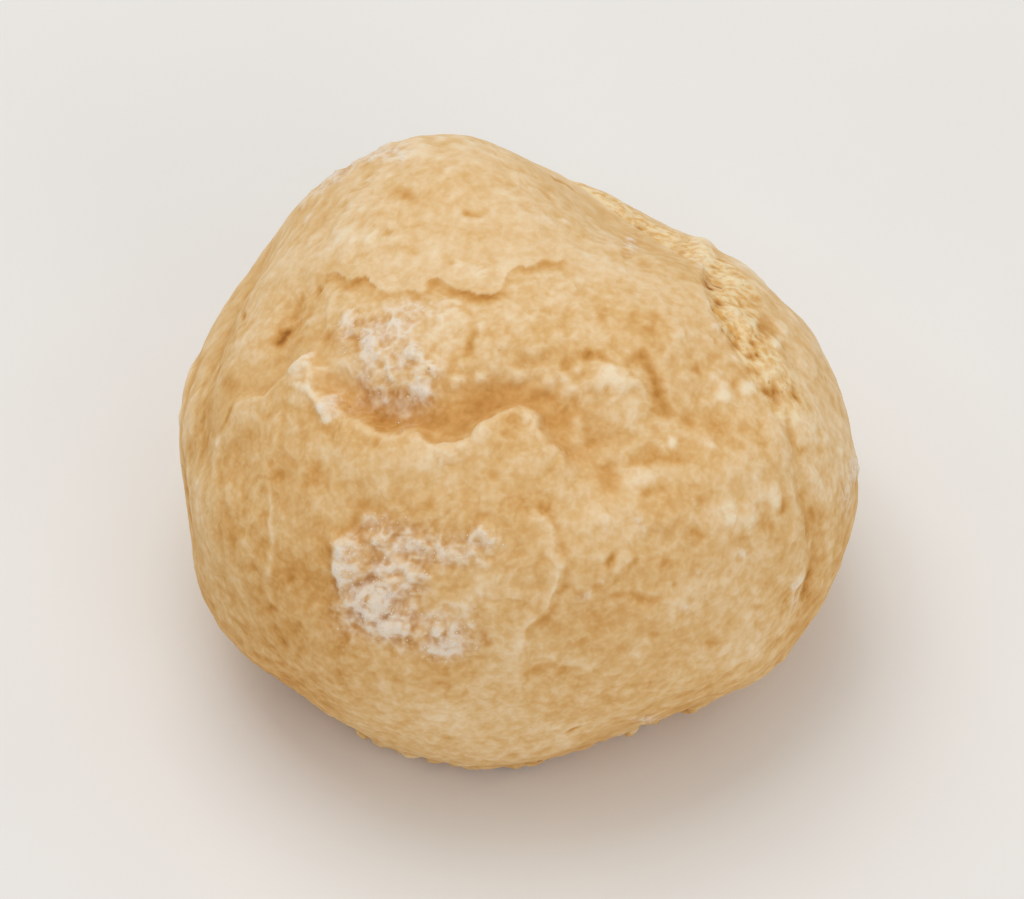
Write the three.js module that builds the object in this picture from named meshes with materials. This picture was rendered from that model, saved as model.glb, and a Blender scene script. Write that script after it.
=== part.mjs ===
// Cream puff: one choux bun, baked whole, with a torn and crackled crown.
//
// Millimetres, +Z up. The origin is on the table, under the middle of the bun. The crown, where the
// crust tore as the bun rose, leans towards -Y. The bun is one solid: a rounded body with soft lobes,
// uneven lumps, and the tears between its crust plates, all worked out as one radius for each
// direction from the bun's middle.
import * as THREE from "three";
import { mergeVertices } from "three/addons/utils/BufferGeometryUtils.js";

// ---- Driving dimensions ----
const HALF_WIDTH = 32.3; // left and right of the middle, at the girth
const HALF_DEPTH = 30.6; // front and back of the middle, at the girth
const GIRTH_HEIGHT = 20.0; // the widest level, above the table
const DOME_HEIGHT = 24.8; // from the girth up to the top
const BELLY_DEPTH = 28.0; // what the underside would reach below the girth, if the foot weren't flat
const FULLNESS = 2.06; // 2 is an ellipsoid, more is boxier
const CROWN_LEAN = 50; // degrees that the crown's middle stands above the horizon, at the front
const EDGE_WIDTH = 2.1; // of the slope between a tear's standing edge and its low side
const GRID = 28; // squares along each side of the six-sided grid that wraps the bun
const CROWN_CROWDING = 0.2; // how much closer the grid's lines lie on the crown
const GATHERING = { pull: 0.55, reach: 3.6 }; // how grid points are drawn in towards each tear
const LINE_STEPS = 60; // steps along the line of each tear and hollow

// Soft lobes of the body: where they lie round the crown (degrees, anticlockwise from the right),
// how far from its middle (degrees), their spread (degrees) and their height (share of the radius).
const LOBES = [
  { turn: 60, tilt: 87, spread: 31, height: -0.235 },
  { turn: 98, tilt: 80, spread: 24, height: 0.11 },
  { turn: 124, tilt: 88, spread: 24, height: 0.03 },
  { turn: 150, tilt: 86, spread: 20, height: -0.07 },
  { turn: -166, tilt: 86, spread: 14, height: -0.04 },
  { turn: -145, tilt: 86, spread: 26, height: 0.045 },
  { turn: -122, tilt: 86, spread: 14, height: -0.03 },
  { turn: -104, tilt: 84, spread: 24, height: 0.045 },
  { turn: -68, tilt: 86, spread: 20, height: -0.03 },
  { turn: -30, tilt: 84, spread: 30, height: 0.05 },
  { turn: 30, tilt: 132, spread: 40, height: 0.025 },
  { turn: 160, tilt: 140, spread: 36, height: -0.03 },
];

// Uneven lumps over the whole crust: the size and height of each layer of them.
const LUMPS = [
  { size: 13, height: 0.75, seed: 3 },
  { size: 6.5, height: 0.38, seed: 8 },
];

// Tears between crust plates. Each runs through points on the crown, given as millimetres to the
// right of and up from the crown's middle, and then through any points out of the crown's sight, given
// as degrees round from the front to the right and degrees above the girth, both from the bun's
// middle. The low side is on the left of the way the tear runs. rise is how far the torn edge
// stands up, drop how far the low side falls, and the two spreads say how far from the tear each dies
// away.
const TEARS = [
  {
    name: "great tear, along the scalloped edge of the lower plate",
    points: [
      [-27.5, 1.9], [-24.5, 3.8], [-21.6, 5.9], [-19.6, 7.4], [-18.5, 4.6], [-16.6, 1.8], [-14.2, 1.3],
      [-12.4, 0.2], [-9.9, -0.1], [-7.2, -0.6], [-5.1, -0.5], [-4.2, 0.7], [-2.1, 1.9], [0.0, 2.7],
      [1.5, 2.6], [2.4, 0.9], [3.5, -0.4], [5.3, -2.3], [6.9, -3.9], [8.2, -5.6],
    ],
    rise: 0.75, riseSpread: 3.2, drop: 2.3, dropSpread: 2.6,
  },
  {
    name: "upper tear, under the edge of the top plate",
    points: [
      [5.1, 17.1], [3.3, 16.9], [0.8, 16.2], [-0.9, 13.7], [-3.6, 13.7], [-7.0, 15.5], [-9.9, 13.5],
      [-12.3, 13.8], [-14.3, 15.2], [-19.0, 16.2],
    ],
    rise: 0.42, riseSpread: 3.0, drop: 0.75, dropSpread: 2.2,
  },
  {
    name: "side tear, where the cap lifted off the rim",
    points: [
      [24.2, -20.6], [26.0, -17.7], [27.3, -15.4], [27.8, -12.4], [27.3, -8.6], [26.4, -4.6], [24.9, -1.0],
      [23.5, 3.9], [22.3, 6.6], [20.2, 10.6], [18.8, 13.6], [17.3, 16.6],
    ],
    behind: [[139, 31], [158, 29], [177, 26], [196, 27], [213, 21]],
    rise: 0.9, riseSpread: 5.0, drop: 2.2, dropSpread: 2.6, lowOnRight: true,
  },
  {
    name: "short slanting tear",
    points: [[15.2, 2.6], [14.3, 4.8], [13.7, 6.4], [12.6, 8.2], [10.4, 9.0]],
    rise: 0.6, riseSpread: 2.4, drop: 1.1, dropSpread: 1.5,
  },
  {
    name: "ledge down the right of the lower plate",
    points: [
      [1.5, -6.0], [2.4, -7.5], [3.7, -9.4], [3.8, -12.2], [3.3, -14.5], [1.7, -17.6], [0.6, -21.0],
      [0.3, -24.0],
    ],
    rise: 0.42, riseSpread: 2.4, drop: 0.42, dropSpread: 1.6,
  },
  {
    name: "crack low on the left",
    points: [],
    behind: [[250, 1], [257, 5], [266, 6], [275, 2], [284, -3], [296, -2]],
    rise: 0.5, riseSpread: 4.0, drop: 1.1, dropSpread: 2.6,
  },
];

// Hollows pressed into the crown: the line each follows, its depth and its half width.
const HOLLOWS = [
  { points: [[-15, 4.2], [-9, 2.9], [-3, 4.9], [3, 5.4], [6.4, 2.0], [8.4, -2.8]], depth: 1.15, width: 3.3 },
  { points: [[9.5, -0.5], [15, 1.2], [20, 3.5]], depth: 0.7, width: 4.2 },
  { points: [[-21, 12.5], [-22, 8.5]], depth: 0.7, width: 2.6 },
];

const rad = THREE.MathUtils.degToRad;
const MIDDLE = new THREE.Vector3(0, 0, GIRTH_HEIGHT);

// The crown's own directions: right across it, up its slope, and straight out of it.
const CROWN_RIGHT = new THREE.Vector3(1, 0, 0);
const CROWN_UP = new THREE.Vector3(0, Math.sin(rad(CROWN_LEAN)), Math.cos(rad(CROWN_LEAN)));
const CROWN_OUT = new THREE.Vector3(0, -Math.cos(rad(CROWN_LEAN)), Math.sin(rad(CROWN_LEAN)));

/** The vector with these amounts across, up and out of the crown. */
function onCrown(across, up, out) {
  return new THREE.Vector3()
    .addScaledVector(CROWN_RIGHT, across)
    .addScaledVector(CROWN_UP, up)
    .addScaledVector(CROWN_OUT, out);
}

const lobes = LOBES.map(({ turn, tilt, spread, height }) => ({
  toward: onCrown(
    Math.cos(rad(turn)) * Math.sin(rad(tilt)),
    Math.sin(rad(turn)) * Math.sin(rad(tilt)),
    Math.cos(rad(tilt)),
  ),
  sharpness: 2 / rad(spread) ** 2,
  height,
}));

/** How far the smooth body reaches from its middle in a unit direction. */
function bodyRadius(direction) {
  const reach = direction.z > 0 ? DOME_HEIGHT : BELLY_DEPTH;
  const sum =
    Math.abs(direction.x / HALF_WIDTH) ** FULLNESS +
    Math.abs(direction.y / HALF_DEPTH) ** FULLNESS +
    Math.abs(direction.z / reach) ** FULLNESS;
  const swell = lobes.reduce(
    (total, { toward, sharpness, height }) =>
      total + height * Math.exp(-sharpness * (1 - direction.dot(toward))),
    1,
  );
  return swell * sum ** (-1 / FULLNESS);
}

/** A repeatable random number from -1 to 1 for a whole-numbered lattice point. */
function latticeValue(ix, iy, iz, seed) {
  let h = Math.imul(ix, 374761393) ^ Math.imul(iy, 668265263) ^ Math.imul(iz, 1103515245);
  h = Math.imul(h ^ (h >>> 13) ^ Math.imul(seed, 1597334677), 1274126177);
  return (((h ^ (h >>> 16)) >>> 0) / 4294967295) * 2 - 1;
}

const fade = (t) => t * t * t * (t * (t * 6 - 15) + 10);

/** Smooth noise from -1 to 1, with lumps one unit across. */
function noise(x, y, z, seed) {
  const [ix, iy, iz] = [x, y, z].map(Math.floor);
  const [fx, fy, fz] = [fade(x - ix), fade(y - iy), fade(z - iz)];
  let total = 0;
  for (let corner = 0; corner < 8; corner++) {
    const [cx, cy, cz] = [corner & 1, (corner >> 1) & 1, corner >> 2];
    const weight = (cx ? fx : 1 - fx) * (cy ? fy : 1 - fy) * (cz ? fz : 1 - fz);
    total += weight * latticeValue(ix + cx, iy + cy, iz + cz, seed);
  }
  return total;
}

/** The smooth body's point in this direction. */
const onBody = (direction) => direction.clone().multiplyScalar(bodyRadius(direction));

/** The smooth body's point that lies this far across and up, seen straight onto the crown. */
function liftToBody(across, up) {
  const STEPS = 12;
  let out = HALF_DEPTH;
  for (let step = 0; step < STEPS; step++) {
    const radius = bodyRadius(onCrown(across, up, out).normalize());
    out = Math.sqrt(Math.max(radius ** 2 - across ** 2 - up ** 2, 0));
  }
  return onCrown(across, up, out);
}

/** The smooth body's point this far round from the front to the right and above the girth. */
function roundTheGirth(turn, above) {
  const level = Math.cos(rad(above));
  const direction = new THREE.Vector3(
    Math.sin(rad(turn)) * level,
    -Math.cos(rad(turn)) * level,
    Math.sin(rad(above)),
  );
  return onBody(direction);
}

/** A smooth line on the body through points of the crown and points behind it, as even steps. */
function bodyLine({ points, behind = [] }) {
  const through = [
    ...points.map(([across, up]) => liftToBody(across, up)),
    ...behind.map(([turn, above]) => roundTheGirth(turn, above)),
  ];
  const curve = new THREE.CatmullRomCurve3(through, false, "catmullrom");
  return curve.getSpacedPoints(LINE_STEPS).map((point) => onBody(point.normalize()));
}

const closest = { distance: 0, side: 0, share: 0, away: new THREE.Vector3() };
const along = new THREE.Vector3();
const offset = new THREE.Vector3();

/** How far and which way a point is from a line, its side (1 on the left), and how far along. */
function nearest(point, line) {
  closest.distance = Infinity;
  for (let i = 0; i + 1 < line.length; i++) {
    along.subVectors(line[i + 1], line[i]);
    offset.subVectors(point, line[i]);
    const t = THREE.MathUtils.clamp(offset.dot(along) / along.lengthSq(), 0, 1);
    offset.addScaledVector(along, -t);
    const distance = offset.length();
    if (distance < closest.distance) {
      closest.distance = distance;
      closest.away.copy(offset);
      closest.side = Math.sign(offset.dot(along.cross(point))) <= 0 ? 1 : -1;
      closest.share = (i + t) / (line.length - 1);
    }
  }
  return closest;
}

/** 1 along the middle of a line, falling to 0 at both ends. */
const taper = (share, ends = 0.16) =>
  THREE.MathUtils.smoothstep(share, 0, ends) * THREE.MathUtils.smoothstep(1 - share, 0, ends);

const tears = TEARS.map((tear) => ({ ...tear, line: bodyLine(tear) }));
const hollows = HOLLOWS.map((hollow) => ({ ...hollow, line: bodyLine(hollow) }));

/** Draws a point of the body in towards the tears near it, so that the grid is finer there. */
function gather(point) {
  for (const { line } of tears) {
    const { distance, share, away } = nearest(point, line);
    const pull = GATHERING.pull * taper(share) * Math.exp(-((distance / GATHERING.reach) ** 2));
    point.addScaledVector(away, -pull);
  }
}

/** How far the crust stands off the smooth body at one of its points. */
function relief(point) {
  let height = 0;
  for (const { size, height: tall, seed } of LUMPS) {
    height += tall * noise(point.x / size, point.y / size, point.z / size, seed);
  }
  for (const { line, rise, riseSpread, drop, dropSpread, lowOnRight } of tears) {
    const { distance, side, share } = nearest(point, line);
    const across = lowOnRight ? -side * distance : side * distance; // above 0 on the low side
    const low = THREE.MathUtils.smoothstep(across, -EDGE_WIDTH / 2, EDGE_WIDTH / 2);
    const edge = rise * Math.exp(-Math.max(-across, 0) / riseSpread);
    const floor = -drop * Math.exp(-((Math.max(across, 0) / dropSpread) ** 2));
    height += taper(share) * THREE.MathUtils.lerp(edge, floor, low);
  }
  for (const { line, depth, width } of hollows) {
    const { distance } = nearest(point, line);
    height -= depth * Math.exp(-((distance / width) ** 2));
  }
  return height;
}

/** The six-sided grid blown up to a ball: one unit direction for each of its corners. */
function gridBall() {
  const box = new THREE.BoxGeometry(2, 2, 2, GRID, GRID, GRID);
  box.deleteAttribute("normal");
  box.deleteAttribute("uv");
  const grid = mergeVertices(box);
  const position = grid.getAttribute("position");
  const direction = new THREE.Vector3();
  const even = (c) => Math.tan((c * Math.PI) / 4); // evens out the squares' sizes
  for (let i = 0; i < position.count; i++) {
    direction.fromBufferAttribute(position, i);
    direction.set(even(direction.x), even(direction.y), even(direction.z)).normalize();
    direction.addScaledVector(CROWN_OUT, CROWN_CROWDING).normalize();
    position.setXYZ(i, direction.x, direction.y, direction.z);
  }
  return grid;
}

/** The whole bun: the ball's directions carried out to the crust, and cut flat at the foot. */
function chouxBun() {
  const shape = gridBall();
  const position = shape.getAttribute("position");
  const direction = new THREE.Vector3();
  const point = new THREE.Vector3();
  for (let i = 0; i < position.count; i++) {
    direction.fromBufferAttribute(position, i);
    point.copy(onBody(direction));
    gather(point);
    direction.copy(point).normalize();
    point.copy(onBody(direction));
    point.addScaledVector(direction, relief(point)).add(MIDDLE);
    position.setXYZ(i, point.x, point.y, Math.max(point.z, 0));
  }
  shape.computeBoundingBox();
  const middle = shape.boundingBox.getCenter(new THREE.Vector3());
  shape.translate(-middle.x, -middle.y, 0);
  shape.computeVertexNormals();
  const crust = new THREE.MeshStandardMaterial({ color: 0xd9b27c, roughness: 0.8, metalness: 0 });
  const bun = new THREE.Mesh(shape, crust);
  bun.name = "choux_bun";
  return bun;
}

const creamPuff = new THREE.Group();
creamPuff.add(chouxBun());

export default creamPuff;
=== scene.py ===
# %% [markdown]
# # A cream puff, worked out as one surface
#
# A cream puff is a ball of choux paste that blew up in the oven. Steam stretched its skin, the skin
# tore into plates, and the plates browned where they stayed thin and stayed pale where they stretched
# last. This lesson builds one bun from arrays of numbers: first the body, then its tears, then the
# fine crackle, and last the sugar and crumbs that lie on it. Everything is worked out in millimetres
# with numpy, and only turned into metres when a mesh is made.

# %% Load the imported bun, which fixes every size
import math
import time
import bpy
import numpy as np
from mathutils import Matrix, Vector


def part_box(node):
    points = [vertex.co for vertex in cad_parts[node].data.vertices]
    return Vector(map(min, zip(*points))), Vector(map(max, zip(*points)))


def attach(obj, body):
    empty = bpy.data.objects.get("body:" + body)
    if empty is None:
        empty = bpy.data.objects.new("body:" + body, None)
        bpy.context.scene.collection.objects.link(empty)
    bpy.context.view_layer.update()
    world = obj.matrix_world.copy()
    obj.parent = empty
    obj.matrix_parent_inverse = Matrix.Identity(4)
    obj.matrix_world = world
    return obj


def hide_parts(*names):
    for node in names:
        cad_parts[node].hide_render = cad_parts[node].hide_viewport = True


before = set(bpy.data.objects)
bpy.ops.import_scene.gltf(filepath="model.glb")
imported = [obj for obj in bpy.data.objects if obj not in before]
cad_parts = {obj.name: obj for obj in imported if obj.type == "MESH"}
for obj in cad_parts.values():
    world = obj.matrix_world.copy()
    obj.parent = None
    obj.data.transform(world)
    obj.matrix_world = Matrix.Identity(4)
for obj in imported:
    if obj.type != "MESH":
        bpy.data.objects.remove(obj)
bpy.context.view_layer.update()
started = time.time()

# %% [markdown]
# ## Sizes
# The solid bun in the frame gives the real size. The numbers in this lesson are written for a bun
# 65 mm wide, and FIT stretches them all if the frame's bun is larger or smaller.

# %% Sizes from the frame
MM = 0.001
DRAWN_WIDTH = 64.94
node_low, node_high = (np.array(corner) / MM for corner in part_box("choux_bun"))
FIT = (node_high[0] - node_low[0]) / DRAWN_WIDTH
HALF_WIDTH = 32.3
HALF_DEPTH = 30.6
GIRTH_HEIGHT = 20.0
DOME_HEIGHT = 24.8
BELLY_DEPTH = 28.0
FULLNESS = 2.06
print("node size, mm:", np.round(node_high - node_low, 2), "fit:", round(FIT, 4))

# %% [markdown]
# ## Directions on the crown
# The torn crown leans towards -Y, 50 degrees above the horizon. Its tears are easier to place on a
# flat map of the crown, in millimetres to the right and up from its middle, so three unit vectors are
# kept: right across the crown, up its slope, and straight out of it.

# %% Crown directions
CROWN_LEAN = math.radians(50)
CROWN_RIGHT = np.array([1.0, 0.0, 0.0])
CROWN_UP = np.array([0.0, math.sin(CROWN_LEAN), math.cos(CROWN_LEAN)])
CROWN_OUT = np.array([0.0, -math.cos(CROWN_LEAN), math.sin(CROWN_LEAN)])


def on_crown(across, up, out):
    """across x right + up x slope + out x outward, for numbers or arrays."""
    across, up, out = (np.asarray(part, float)[..., None] for part in (across, up, out))
    return across * CROWN_RIGHT + up * CROWN_UP + out * CROWN_OUT


def unit(vectors):
    """Each vector divided by its own length."""
    return vectors / np.maximum(np.linalg.norm(vectors, axis=-1, keepdims=True), 1e-12)


# %% [markdown]
# ## Repeatable noise
# Dough is never even. Value noise gives each point of a lattice a repeatable number from -1 to 1, and
# blends the eight numbers round a point with a smooth weight. A hash of whole numbers makes them, so
# no random state is kept and every run is alike. The scattered version gives the distance to the
# nearest of many scattered points, for pits and bubbles. Two plain curves shape most of what follows:
# ramp, a soft step between two values, and bell, a soft hill round one.

# %% Noise
HASH_X, HASH_Y, HASH_Z = np.uint32(374761393), np.uint32(668265263), np.uint32(1103515245)
HASH_SEED, HASH_MIX = 1597334677, np.uint32(1274126177)
LARGEST_HASH = 2**32 - 1


def lattice_value(ix, iy, iz, seed):
    """A whole-number hash of a lattice point, as a number from -1 to 1."""
    ix, iy, iz = (part.astype(np.int64).astype(np.uint32) for part in (ix, iy, iz))
    mixed = ix * HASH_X ^ iy * HASH_Y ^ iz * HASH_Z
    salt = np.uint32((seed * HASH_SEED) % 2**32)
    mixed = (mixed ^ (mixed >> np.uint32(13)) ^ salt) * HASH_MIX
    return (mixed ^ (mixed >> np.uint32(16))).astype(float) / LARGEST_HASH * 2 - 1


def noise(points, size, seed):
    """Sum over the 8 corners of weight x lattice value, with weight t^3 (6t^2 - 15t + 10) an axis."""
    scaled = points / size
    cell = np.floor(scaled)
    t = scaled - cell
    t = t * t * t * (t * (t * 6 - 15) + 10)
    total = np.zeros(len(points))
    for corner in range(8):
        step = np.array([corner & 1, (corner >> 1) & 1, corner >> 2])
        weight = np.prod(np.where(step == 1, t, 1 - t), axis=1)
        total += weight * lattice_value(*(cell + step).T, seed)
    return total


TURN = np.linalg.qr(np.array([[0.8, 0.5, 0.3], [-0.4, 0.9, 0.2], [0.1, -0.3, 0.95]]))[0]


def octaves(points, size, seed, count=3, fall=0.55):
    """noise at size, size / 2, size / 4 ..., each turned and fall times as strong, scaled to about 1."""
    total, strength, reach = np.zeros(len(points)), 1.0, 0.0
    for layer in range(count):
        points = points @ TURN
        total += strength * noise(points, size / 2**layer, seed + 17 * layer)
        reach += strength
        strength *= fall
    return total / reach * 1.4


def scattered(points, size, seed):
    """(distance to the nearest scattered point, in sizes; that point's own number, 0 to 1)."""
    scaled = points / size
    cell = np.floor(scaled)
    first = np.full(len(points), 9.0)
    name = np.zeros(len(points))
    for corner in np.ndindex(3, 3, 3):
        there = cell + np.array(corner) - 1
        jitter = [lattice_value(*there.T, seed + k) * 0.5 + 0.5 for k in range(3)]
        gap = np.linalg.norm(there + np.stack(jitter, axis=1) - scaled, axis=1)
        closer = gap < first
        name = np.where(closer, lattice_value(*there.T, seed + 5) * 0.5 + 0.5, name)
        first = np.where(closer, gap, first)
    return first, name


def ramp(value, start, end):
    """0 before start, 1 after end, and t^2 (3 - 2t) between."""
    t = np.clip((value - start) / (end - start), 0, 1)
    return t * t * (3 - 2 * t)


def bell(value, middle, width):
    """exp(-((value - middle) / width)^2), 1 at the middle and nearly 0 two widths away."""
    return np.exp(-((value - middle) / width) ** 2)


sample = noise(np.random.default_rng(1).uniform(-40, 40, (2000, 3)), 6.5, 8)
print("noise runs from", round(sample.min(), 2), "to", round(sample.max(), 2))

# %% [markdown]
# ## The smooth body
# Under its crust the bun is a rounded body: |x/a|^n + |y/b|^n + |z/c|^n = 1, a little fuller than an
# ellipsoid, with soft lobes that swell or pull in the radius round chosen directions. Given a unit
# direction, the radius follows at once, so the whole body is one formula.

# %% Body radius
LOBES = [  # turn round the crown, tilt from its middle, spread (degrees), height (share of radius)
    (60, 87, 31, -0.235), (98, 80, 24, 0.11), (124, 88, 24, 0.03), (150, 86, 20, -0.07),
    (-166, 86, 14, -0.04), (-145, 86, 26, 0.045), (-122, 86, 14, -0.03), (-104, 84, 24, 0.045),
    (-68, 86, 20, -0.03), (-30, 84, 30, 0.05), (30, 132, 40, 0.025), (160, 140, 36, -0.03),
]
SETTLING = 12


def body_radius(direction):
    """(1 + sum of height exp(-(2 / spread^2)(1 - cos angle))) x (|x/a|^n + |y/b|^n + |z/c|^n)^(-1/n)."""
    reach = np.where(direction[:, 2] > 0, DOME_HEIGHT, BELLY_DEPTH)
    shares = np.abs(direction / np.stack([np.full(len(direction), HALF_WIDTH),
                                          np.full(len(direction), HALF_DEPTH), reach], axis=1))
    swell = np.ones(len(direction))
    for turn, tilt, spread, height in LOBES:
        turn, tilt, spread = map(math.radians, (turn, tilt, spread))
        toward = on_crown(math.cos(turn) * math.sin(tilt), math.sin(turn) * math.sin(tilt), math.cos(tilt))
        swell += height * np.exp(-2 / spread**2 * (1 - direction @ toward))
    return swell * (shares**FULLNESS).sum(axis=1) ** (-1 / FULLNESS)


def lift(across, up):
    """The body's points over crown places: out = sqrt(r^2 - across^2 - up^2), repeated as r settles."""
    out = np.full(len(across), HALF_DEPTH)
    for _ in range(SETTLING):
        radius = body_radius(unit(on_crown(across, up, out)))
        out = np.sqrt(np.maximum(radius**2 - across**2 - up**2, 0))
    return on_crown(across, up, out)


print("body reach up, mm:", round(body_radius(np.array([[0.0, 0.0, 1.0]]))[0], 2))

# %% [markdown]
# ## Lines on the body
# A tear or a crease follows a smooth line. A Catmull-Rom curve runs through a few chosen crown places,
# evenly spaced samples of it are lifted onto the body, and then every point of the crust can ask how
# far it is from the line, on which side, and how far along.

# %% Lines and distances
LINE_STEPS, CURVE_STEPS, SKIP = 110, 24, 5


def smooth_path(points):
    """Catmull-Rom through the points, p(t) = p1 + (p2 - p0)/2 t + ..., sampled at even lengths."""
    points = np.asarray(points, float)
    before = np.vstack([points[:1], points[:-2]])
    after = np.vstack([points[2:], points[-1:]])
    start, end = points[:-1], points[1:]
    t = np.linspace(0, 1, CURVE_STEPS, endpoint=False)[None, :, None]
    go, come = (end - before)[:, None] / 2, (after - start)[:, None] / 2
    p1, p2 = start[:, None], end[:, None]
    curve = (2 * p1 - 2 * p2 + go + come) * t**3 + (-3 * p1 + 3 * p2 - 2 * go - come) * t**2 + go * t + p1
    curve = np.vstack([curve.reshape(-1, points.shape[1]), points[-1:]])
    length = np.concatenate([[0], np.cumsum(np.linalg.norm(np.diff(curve, axis=0), axis=1))])
    even = np.linspace(0, length[-1], LINE_STEPS + 1)
    return np.stack([np.interp(even, length, curve[:, k]) for k in range(points.shape[1])], axis=1)


def round_the_girth(turn, above):
    """The body's points turn degrees round from the front to the right, above degrees over the girth."""
    turn, above = np.radians(turn), np.radians(above)
    flat = np.cos(above)
    direction = np.stack([np.sin(turn) * flat, -np.cos(turn) * flat, np.sin(above)], axis=1)
    return direction * body_radius(direction)[:, None]


def crown_line(points, behind=()):
    """A smooth path through crown places, then through (turn, above) places behind, laid on the body."""
    through = [lift(*np.array(points, float).T)] if len(points) else []
    through += [round_the_girth(*np.array(behind, float).T)] if len(behind) else []
    direction = unit(smooth_path(np.vstack(through)))
    return direction * body_radius(direction)[:, None]


def measure(points, line, reach):
    """Nearest place on a line, for the points within reach of it.

    For each segment a -> b the foot is a + clamp((p - a).(b - a) / |b - a|^2) (b - a), and the shortest
    wins. Returns (which points, distance signed + on the left, share along, vector from the foot).
    """
    step = np.linalg.norm(np.diff(line, axis=0), axis=1).max()
    coarse = line[::SKIP]
    square = (points**2).sum(axis=1)[:, None] + (coarse**2).sum(axis=1) - 2 * points @ coarse.T
    near = np.nonzero(square.min(axis=1) < (reach + SKIP / 2 * step) ** 2)[0]
    a, ab = line[:-1], np.diff(line, axis=0)
    ap = points[near, None] - a
    t = np.clip((ap * ab).sum(axis=2) / (ab**2).sum(axis=1), 0, 1)
    away = ap - t[..., None] * ab
    best = np.argmin((away**2).sum(axis=2), axis=1)
    row = np.arange(len(near))
    away, t = away[row, best], t[row, best]
    side = np.where((away * np.cross(points[near], ab[best])).sum(axis=1) >= 0, 1.0, -1.0)
    return near, side * np.linalg.norm(away, axis=1), (best + t) / len(ab), away


def taper(share, ends=0.16):
    """1 along the middle of a line, and 0 at both ends."""
    return ramp(share, 0, ends) * ramp(1 - share, 0, ends)


# %% [markdown]
# ## A grid wrapped round a ball
# The crust needs an even grid with no poles. Six square grids, one for each side of a cube, are blown
# up to a ball: x = tan(pi u / 4) evens out the squares, and dividing by the length makes it round. A
# push towards the crown crowds the grid there, where the detail is.

# %% Six-sided ball
GRID = 127
CROWN_CROWDING = 0.34


def ball_grid(n, crowding):
    """Directions d = unit(unit(x, y, z) + crowding x crown) on six (n+1)^2 grids, and their quads."""
    line = np.tan(np.linspace(-1, 1, n + 1) * np.pi / 4)
    u, v = np.meshgrid(line, line, indexing="ij")
    one = np.ones_like(u)
    sides = [np.roll(np.stack(s, axis=-1), k, axis=-1)
             for k in range(3) for s in ((one, u, v), (-one, v, u))]
    directions = unit(np.stack(sides).reshape(-1, 3))
    corner = np.arange((n + 1) ** 2).reshape(n + 1, n + 1)
    quad = np.stack([corner[:-1, :-1], corner[1:, :-1], corner[1:, 1:], corner[:-1, 1:]], axis=-1)
    quads = np.concatenate([quad.reshape(-1, 4) + k * (n + 1) ** 2 for k in range(6)])
    _, first, back = np.unique(np.round(directions, 6), axis=0, return_index=True, return_inverse=True)
    directions = unit(directions[first] + crowding * CROWN_OUT)
    return directions, back.ravel()[quads]


directions, quads = ball_grid(GRID, CROWN_CROWDING)
edges = np.concatenate([quads[:, [0, 1]], quads[:, [1, 2]]])
edges = np.unique(np.sort(np.concatenate([edges, quads[:, [2, 3]], quads[:, [3, 0]]]), axis=1), axis=0)
print("crust grid:", len(directions), "points,", 2 * len(quads), "triangles")

# %% [markdown]
# ## The tears
# When the bun rose, its first skin split into plates. Each tear has a high side, whose edge stands up
# and curls over, and a low side, where softer dough came through. The crust could be cut and bent, but
# a height added to the body does it as well: across a tear the height runs from a raised edge that dies
# away slowly to a dip that fills up again. Bending the line of the tear with noise makes the edge ragged,
# and sliding the edge sideways, out over the dip, makes it overhang.

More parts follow.
